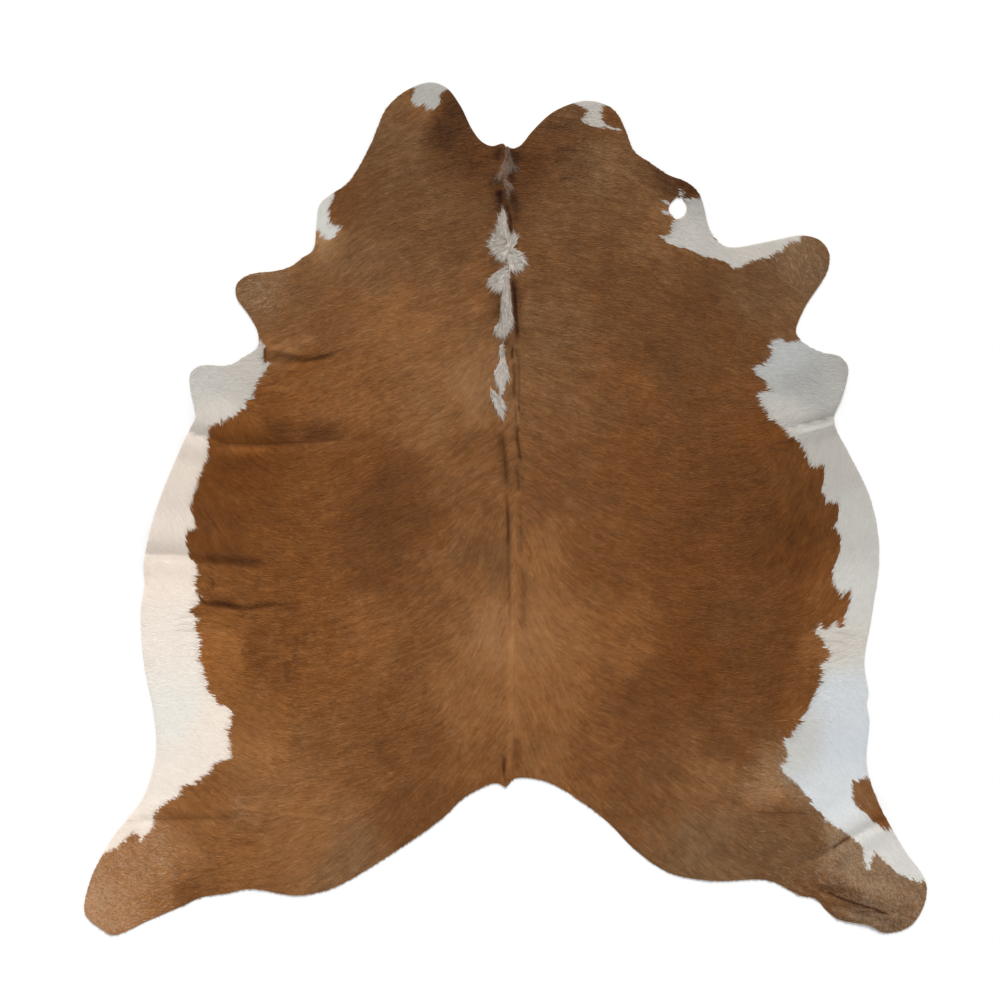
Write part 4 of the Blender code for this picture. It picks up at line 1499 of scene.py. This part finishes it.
@dataclass
class NodeTree:
    """A shader node tree, and short ways to add to it."""

    tree: bpy.types.NodeTree

    def feed(self, node: bpy.types.Node, inputs: dict) -> None:
        """Gives a node its inputs.

        Args:
            node: The node.
            inputs: Its sockets by name or number: a value for each, or the socket that feeds it.
        """
        for key, value in inputs.items():
            if isinstance(value, bpy.types.NodeSocket):
                self.tree.links.new(value, node.inputs[key])
            else:
                node.inputs[key].default_value = value

    def add(self, kind: str, inputs: dict | None = None, **settings: object) -> bpy.types.Node:
        """Adds a node.

        Args:
            kind: The node's Blender type.
            inputs: As in feed.
            **settings: The node's own properties.

        Returns:
            The node.
        """
        node = self.tree.nodes.new(kind)
        for name, value in settings.items():
            setattr(node, name, value)
        self.feed(node, inputs or {})
        return node

    def math(self, operation: str, *values: Feed, clamp: bool = False) -> bpy.types.NodeSocket:
        """A Math node's result."""
        node = self.add("ShaderNodeMath", dict(enumerate(values)), operation=operation, use_clamp=clamp)
        return node.outputs[0]

    def mix(self, factor: Feed, first: Feed, second: Feed, blend: str = "MIX") -> bpy.types.NodeSocket:
        """A colour mix's result."""
        return self.add("ShaderNodeMix", {0: factor, 6: first, 7: second}, data_type="RGBA",
                        blend_type=blend).outputs[2]

    def ramp(self, factor: bpy.types.NodeSocket, stops: tuple) -> bpy.types.NodeSocket:
        """A colour ramp's result.

        Args:
            factor: Where on the ramp it is read.
            stops: The ramp's (position, colour) pairs, from low to high.

        Returns:
            The colour's socket.
        """
        node = self.add("ShaderNodeValToRGB", {0: factor})
        elements = node.color_ramp.elements
        while len(elements) < len(stops):
            elements.new(0.5)
        for element, (position, colour) in zip(elements, stops):
            element.position = position
            element.color = colour
        return node.outputs[0]

    def attribute(self, name: str) -> tuple:
        """Reads a mesh attribute.

        Args:
            name: The attribute's.

        Returns:
            Sockets of its three numbers, and of the vector that they make.
        """
        node = self.add("ShaderNodeAttribute", attribute_name=name, attribute_type="GEOMETRY")
        parts = self.add("ShaderNodeSeparateXYZ", {0: node.outputs["Vector"]})
        return (*parts.outputs, node.outputs["Vector"])


def new_group(name: str, inputs: tuple, outputs: tuple) -> tuple:
    """A shader node group.

    Args:
        name: The group's name.
        inputs: (name, socket type, default) of each input.
        outputs: (name, socket type) of each output.

    Returns:
        The group, its tree, its input sockets by name, and the node that takes its outputs.
    """
    group = bpy.data.node_groups.new(name, "ShaderNodeTree")
    for label, kind, default in inputs:
        socket = group.interface.new_socket(name=label, in_out="INPUT", socket_type=kind)
        if default is not None:
            socket.default_value = default
    for label, kind in outputs:
        group.interface.new_socket(name=label, in_out="OUTPUT", socket_type=kind)
    tree = NodeTree(group)
    given = tree.add("NodeGroupInput")
    return group, tree, given.outputs, tree.add("NodeGroupOutput")


FLOAT = "NodeSocketFloat"
COLOUR = "NodeSocketColor"
VECTOR = "NodeSocketVector"


@dataclass(frozen=True)
class CoatFinish:
    """The coat's colours, from its darkest hair to its palest, and how far hairs differ."""

    grey_brown: tuple = ((0.0, linear(50, 37, 25)), (0.5, linear(98, 82, 60)), (1.0, linear(148, 130, 101)))
    rust_brown: tuple = ((0.0, linear(64, 33, 8)), (0.5, linear(127, 74, 27)), (1.0, linear(191, 118, 51)))
    cool_white: tuple = ((0.0, linear(111, 115, 119)), (1.0, linear(234, 240, 246)))
    stone_white: tuple = ((0.0, linear(118, 117, 112)), (1.0, linear(244, 242, 235)))
    cream_white: tuple = ((0.0, linear(122, 113, 104)), (1.0, linear(252, 237, 222)))
    streak_tone: float = 0.04
    mottle_tone: float = 0.6
    mottle_warmth: float = 0.33
    dark_warmth: float = 0.35  # how much warmer a hair is for being darker than its place
    hair_tone: float = 0.16
    frost_tone: float = 0.1
    frost_white: float = 0.11  # share of white in a frosted hair
    tip_tone: float = 0.05
    white_share: float = 0.2  # how much of these differences white hair shows
    shade_depth: tuple = (0.78, 0.86, 0.94)  # share of red, green and blue light that a full painted shade takes
    roughness: float = 0.5  # and up by the next number from one hair to another
    roughness_spread: float = 0.12
    specular: float = 0.12
    sheen_roughness: float = 0.45

    def group(self) -> bpy.types.NodeTree:
        """Turns a place's tone, warmth, patch, streak and painted shade into the hair's colour.

        Returns:
            The node group.
        """
        floats = ("Tone", "Warmth", "Streak", "White", "Brightness", "Creaminess", "Shade", "Frost", "Along",
                  "Hair", "Mottle", "Hue")
        group, tree, given, taken = new_group("hair_tint", tuple((name, FLOAT, 0.5) for name in floats),
                                              (("Color", COLOUR), ("Roughness", FLOAT)))
        change = tree.math("MULTIPLY", given["Streak"], self.streak_tone)
        for name, middle, amount in (("Mottle", 0.5, self.mottle_tone), ("Hair", 0.5, self.hair_tone),
                                     ("Frost", 0.0, self.frost_tone), ("Along", 0.5, self.tip_tone)):
            offset = tree.math("SUBTRACT", given[name], middle)
            change = tree.math("MULTIPLY_ADD", offset, amount, change)
        tone = tree.math("ADD", given["Tone"], change, clamp=True)
        hue = tree.math("SUBTRACT", given["Hue"], 0.5)
        warmth = tree.math("MULTIPLY_ADD", hue, self.mottle_warmth, given["Warmth"])
        warmth = tree.math("MULTIPLY_ADD", change, -self.dark_warmth, warmth, clamp=True)
        brown = tree.mix(warmth, tree.ramp(tone, self.grey_brown), tree.ramp(tone, self.rust_brown))
        bright = tree.math("MULTIPLY_ADD", change, self.white_share, given["Brightness"], clamp=True)
        white = tree.ramp(bright, self.cool_white)
        for offset, stops in ((0.0, self.stone_white), (-1.0, self.cream_white)):
            part = tree.math("MULTIPLY_ADD", given["Creaminess"], 2.0, offset, clamp=True)
            white = tree.mix(part, white, tree.ramp(bright, stops))
        share = tree.math("MULTIPLY_ADD", given["Frost"], self.frost_white, given["White"], clamp=True)
        colour = tree.mix(share, brown, white)
        # painted shade: the colour is multiplied down, red least and blue most
        left = [tree.math("MULTIPLY_ADD", given["Shade"], -depth, 1.0) for depth in self.shade_depth]
        light = tree.add("ShaderNodeCombineColor", dict(enumerate(left))).outputs[0]
        rough = tree.math("MULTIPLY_ADD", given["Hair"], self.roughness_spread, self.roughness)
        tree.feed(taken, {"Color": tree.mix(1.0, colour, light, "MULTIPLY"), "Roughness": rough})
        return group


@dataclass(frozen=True)
class StrandFinish:
    """Single hairs within a lock: fine lines along it."""

    hairs_a_millimetre: float = 7.0
    length_stretch: float = 0.09
    contrast: float = 1.8
    relief: float = 0.0004  # metres

    def group(self) -> bpy.types.NodeTree:
        """Draws hairs from a lock's own across and along.

        Returns:
            The node group.
        """
        group, tree, given, taken = new_group("hair_strands", (("Grain", VECTOR, None),),
                                              (("Hair", FLOAT), ("Height", FLOAT)))
        scale = (self.hairs_a_millimetre, self.length_stretch, 1.0)
        scaled = tree.add("ShaderNodeVectorMath", {0: given["Grain"], 1: scale},
                          operation="MULTIPLY").outputs[0]
        texture = tree.add("ShaderNodeTexNoise", {"Vector": scaled, "Scale": 1.0, "Detail": 1.0})
        noise = texture.outputs["Fac"]
        offset = tree.math("SUBTRACT", noise, 0.5)
        hair = tree.math("MULTIPLY_ADD", offset, self.contrast, 0.5, clamp=True)
        tree.feed(taken, {"Hair": hair, "Height": noise})
        return group


@dataclass(frozen=True)
class MottleFinish:
    """Cloudy patches over a surface, coarse and fine."""

    coarse: float = 14.0  # clouds a metre
    fine: float = 45.0
    hue: float = 20.0
    detail: float = 3.0
    roughness: float = 0.6

    def group(self) -> bpy.types.NodeTree:
        """Makes the clouds from a place. The three noises stand apart in the fourth direction.

        Returns:
            The node group.
        """
        inputs = (("Place", VECTOR, None), ("Fine Share", FLOAT, 0.4))
        group, tree, given, taken = new_group("mottle", inputs, (("Mask", FLOAT), ("Hue", FLOAT)))
        coarse, fine, hue = (
            tree.add("ShaderNodeTexNoise", {"Vector": given["Place"], "W": depth, "Scale": scale,
                                            "Detail": self.detail, "Roughness": self.roughness},
                     noise_dimensions="4D").outputs["Fac"]
            for depth, scale in ((0.0, self.coarse), (3.0, self.fine), (7.0, self.hue)))
        difference = tree.math("SUBTRACT", fine, coarse)
        mask = tree.math("MULTIPLY_ADD", difference, given["Fine Share"], coarse)
        tree.feed(taken, {"Mask": mask, "Hue": hue})
        return group


@dataclass(frozen=True)
class SuedeFinish:
    """The flesh side and the cut edge: matt, pale and fibrous."""

    flesh: tuple = ((0.3, linear(196, 178, 150)), (0.55, linear(216, 201, 176)),
                    (0.8, linear(228, 217, 197)))
    edge: tuple = ((0.3, linear(150, 120, 92)), (0.7, linear(206, 188, 160)))
    nap_scale: float = 900.0
    nap_detail: float = 3.0
    nap_bump: float = 0.5
    nap_depth: float = 0.0003  # metres
    fine_share: float = 0.5  # how much of the fine clouds shows
    roughness: float = 0.8  # and up by the next number over the nap
    roughness_spread: float = 0.15
    specular: float = 0.2
    sheen: float = 0.15
    sheen_roughness: float = 0.6


@dataclass
class Finishes:
    """Every material of the hide, made once from the finishes."""

    coat: CoatFinish = CoatFinish()
    strand: StrandFinish = StrandFinish()
    mottle: MottleFinish = MottleFinish()
    suede: SuedeFinish = SuedeFinish()

    def __post_init__(self) -> None:
        """Builds the shared node groups."""
        self.tint_group = self.coat.group()
        self.strand_group = self.strand.group()
        self.mottle_group = self.mottle.group()

    def _new(self, name: str) -> tuple[bpy.types.Material, NodeTree, bpy.types.Node]:
        """A new material.

        Args:
            name: The material's name.

        Returns:
            The material, its tree, and the Principled shader on its output.
        """
        material = bpy.data.materials.new(name)
        material.use_nodes = True
        material.node_tree.nodes.clear()
        tree = NodeTree(material.node_tree)
        shader = tree.add("ShaderNodeBsdfPrincipled")
        tree.add("ShaderNodeOutputMaterial", {0: shader.outputs[0]})
        return material, tree, shader

    def hair(self, name: str, sheen: float, bump: float) -> bpy.types.Material:
        """The coat's material, from what its pieces carry at each point.

        Args:
            name: The material's name.
            sheen: Weight of its sheen.
            bump: How far its hairs stand out of it, 0 to 1.

        Returns:
            The material.
        """
        material, tree, shader = self._new(name)
        tone, warmth, streak, _ = tree.attribute("brown_hair")
        white, brightness, creaminess, _ = tree.attribute("white_hair")
        # painted shade of creases, grooves and hollows (painted light where below 0), frost, and the way
        # along the hair
        shade, frost, along, _ = tree.attribute("hair_wear")
        grain = tree.attribute("hair_grain")[3]
        place = tree.add("ShaderNodeTexCoord").outputs["Object"]
        hairs, height = tree.add("ShaderNodeGroup", {"Grain": grain}, node_tree=self.strand_group).outputs
        mask, hue = tree.add("ShaderNodeGroup", {"Place": place}, node_tree=self.mottle_group).outputs
        colour, rough = tree.add("ShaderNodeGroup", {
            "Tone": tone, "Warmth": warmth, "Streak": streak, "White": white, "Brightness": brightness,
            "Creaminess": creaminess, "Shade": shade, "Frost": frost, "Along": along, "Hair": hairs,
            "Mottle": mask, "Hue": hue}, node_tree=self.tint_group).outputs
        relief = tree.add("ShaderNodeBump", {"Strength": bump, "Distance": self.strand.relief,
                                             "Height": height})
        tree.feed(shader, {"Base Color": colour, "Roughness": rough, "Normal": relief.outputs[0],
                           "Specular IOR Level": self.coat.specular, "Sheen Weight": sheen,
                           "Sheen Roughness": self.coat.sheen_roughness})
        return material

    def leather(self, name: str, stops: tuple) -> bpy.types.Material:
        """The bare skin's material: clouds of colour and a fine nap.

        Args:
            name: The material's name.
            stops: Its colours, as a ramp's stops.

        Returns:
            The material.
        """
        material, tree, shader = self._new(name)
        suede = self.suede
        place = tree.add("ShaderNodeTexCoord").outputs["Object"]
        mask, _ = tree.add("ShaderNodeGroup", {"Place": place, "Fine Share": suede.fine_share},
                           node_tree=self.mottle_group).outputs
        colour = tree.ramp(mask, stops)
        nap = tree.add("ShaderNodeTexNoise", {"Vector": place, "Scale": suede.nap_scale,
                                              "Detail": suede.nap_detail}).outputs["Fac"]
        relief = tree.add("ShaderNodeBump", {"Strength": suede.nap_bump, "Distance": suede.nap_depth,
                                             "Height": nap})
        rough = tree.math("MULTIPLY_ADD", nap, suede.roughness_spread, suede.roughness)
        tree.feed(shader, {"Base Color": colour, "Roughness": rough, "Normal": relief.outputs[0],
                           "Specular IOR Level": suede.specular, "Sheen Weight": suede.sheen,
                           "Sheen Roughness": suede.sheen_roughness})
        return material


@dataclass
class Studio:
    """The pale floor, the soft light and the camera straight above the hide. Metres."""

    floor_size: float = 14.0
    floor_drop: float = 0.0005  # how far the floor is below the hide
    floor_colour: tuple = (0.9, 0.9, 0.9, 1.0)
    floor_roughness: float = 0.9
    view_width: float = 2.6
    camera_height: float = 6.5
    camera_x: float = -0.0142
    camera_y: float = 0.0226
    sensor: float = 36.0
    sky: float = 0.55
    sun: float = 3.05
    sun_spread: float = 24.0  # degrees
    sun_height: float = 36.0  # degrees above the floor, beyond the neck
    sun_place: tuple = (0.0, 3.0, 3.0)

    def floor(self) -> None:
        """A plain pale sheet just under the hide."""
        half = self.floor_size / 2
        mesh = bpy.data.meshes.new("floor")
        corners = [(-half, -half, 0), (half, -half, 0), (half, half, 0), (-half, half, 0)]
        mesh.from_pydata(corners, [], [(0, 1, 2, 3)])
        material = bpy.data.materials.new("floor_white")
        material.use_nodes = True
        shader = material.node_tree.nodes["Principled BSDF"]
        shader.inputs["Base Color"].default_value = self.floor_colour
        shader.inputs["Roughness"].default_value = self.floor_roughness
        shader.inputs["Specular IOR Level"].default_value = 0.0
        mesh.materials.append(material)
        floor = bpy.data.objects.new("floor", mesh)
        floor.location.z = -self.floor_drop
        bpy.context.scene.collection.objects.link(floor)

    def lights(self) -> None:
        """An even sky, and a low soft sun beyond the neck, so that each fold has a dark and a light side."""
        world = bpy.data.worlds.new("studio")
        bpy.context.scene.world = world
        world.use_nodes = True
        sky = world.node_tree.nodes["Background"]
        sky.inputs["Color"].default_value = (1.0, 1.0, 1.0, 1.0)
        sky.inputs["Strength"].default_value = self.sky
        data = bpy.data.lights.new("sun", "SUN")
        data.energy = self.sun
        data.angle = math.radians(self.sun_spread)
        lamp = bpy.data.objects.new("sun", data)
        lamp.rotation_euler = (-math.radians(90.0 - self.sun_height), 0.0, 0.0)
        lamp.location = self.sun_place
        bpy.context.scene.collection.objects.link(lamp)

    def camera(self) -> None:
        """The camera, looking straight down with the neck at the top of the picture."""
        data = bpy.data.cameras.new("camera")
        data.sensor_width = self.sensor
        data.lens = self.sensor * self.camera_height / self.view_width
        camera = bpy.data.objects.new("camera", data)
        camera.location = (self.camera_x, self.camera_y, self.camera_height)
        bpy.context.scene.collection.objects.link(camera)
        bpy.context.scene.camera = camera

    def build(self) -> None:
        """Sets up the studio."""
        self.floor()
        self.lights()
        self.camera()
        bpy.context.scene.view_settings.view_transform = "Standard"


def main() -> None:
    """Builds the hide and the studio."""
    logging.basicConfig(level=logging.INFO, format="%(name)s: %(message)s")
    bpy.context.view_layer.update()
    Studio().build()
    finishes = Finishes()
    shape = HideShape()
    chart = CoatChart(shape)
    skin = HideSkin(shape, chart)
    roots = finishes.hair("coat_roots", sheen=0.0, bump=0.2)
    flesh = finishes.leather("suede_flesh_side", finishes.suede.flesh)
    edge = finishes.leather("suede_cut_edge", finishes.suede.edge)
    sheet = skin.build([roots, flesh, edge])
    coat = HairCoat(shape, chart, skin)
    strands = finishes.hair("coat_hair", sheen=0.02, bump=0.5)
    hair = coat.build(strands) + LineHair(shape, chart, skin).build(strands)
    hair += LongTufts(shape, chart, skin).build(strands)
    skin.declare()


if __name__ == "__main__":
    main()
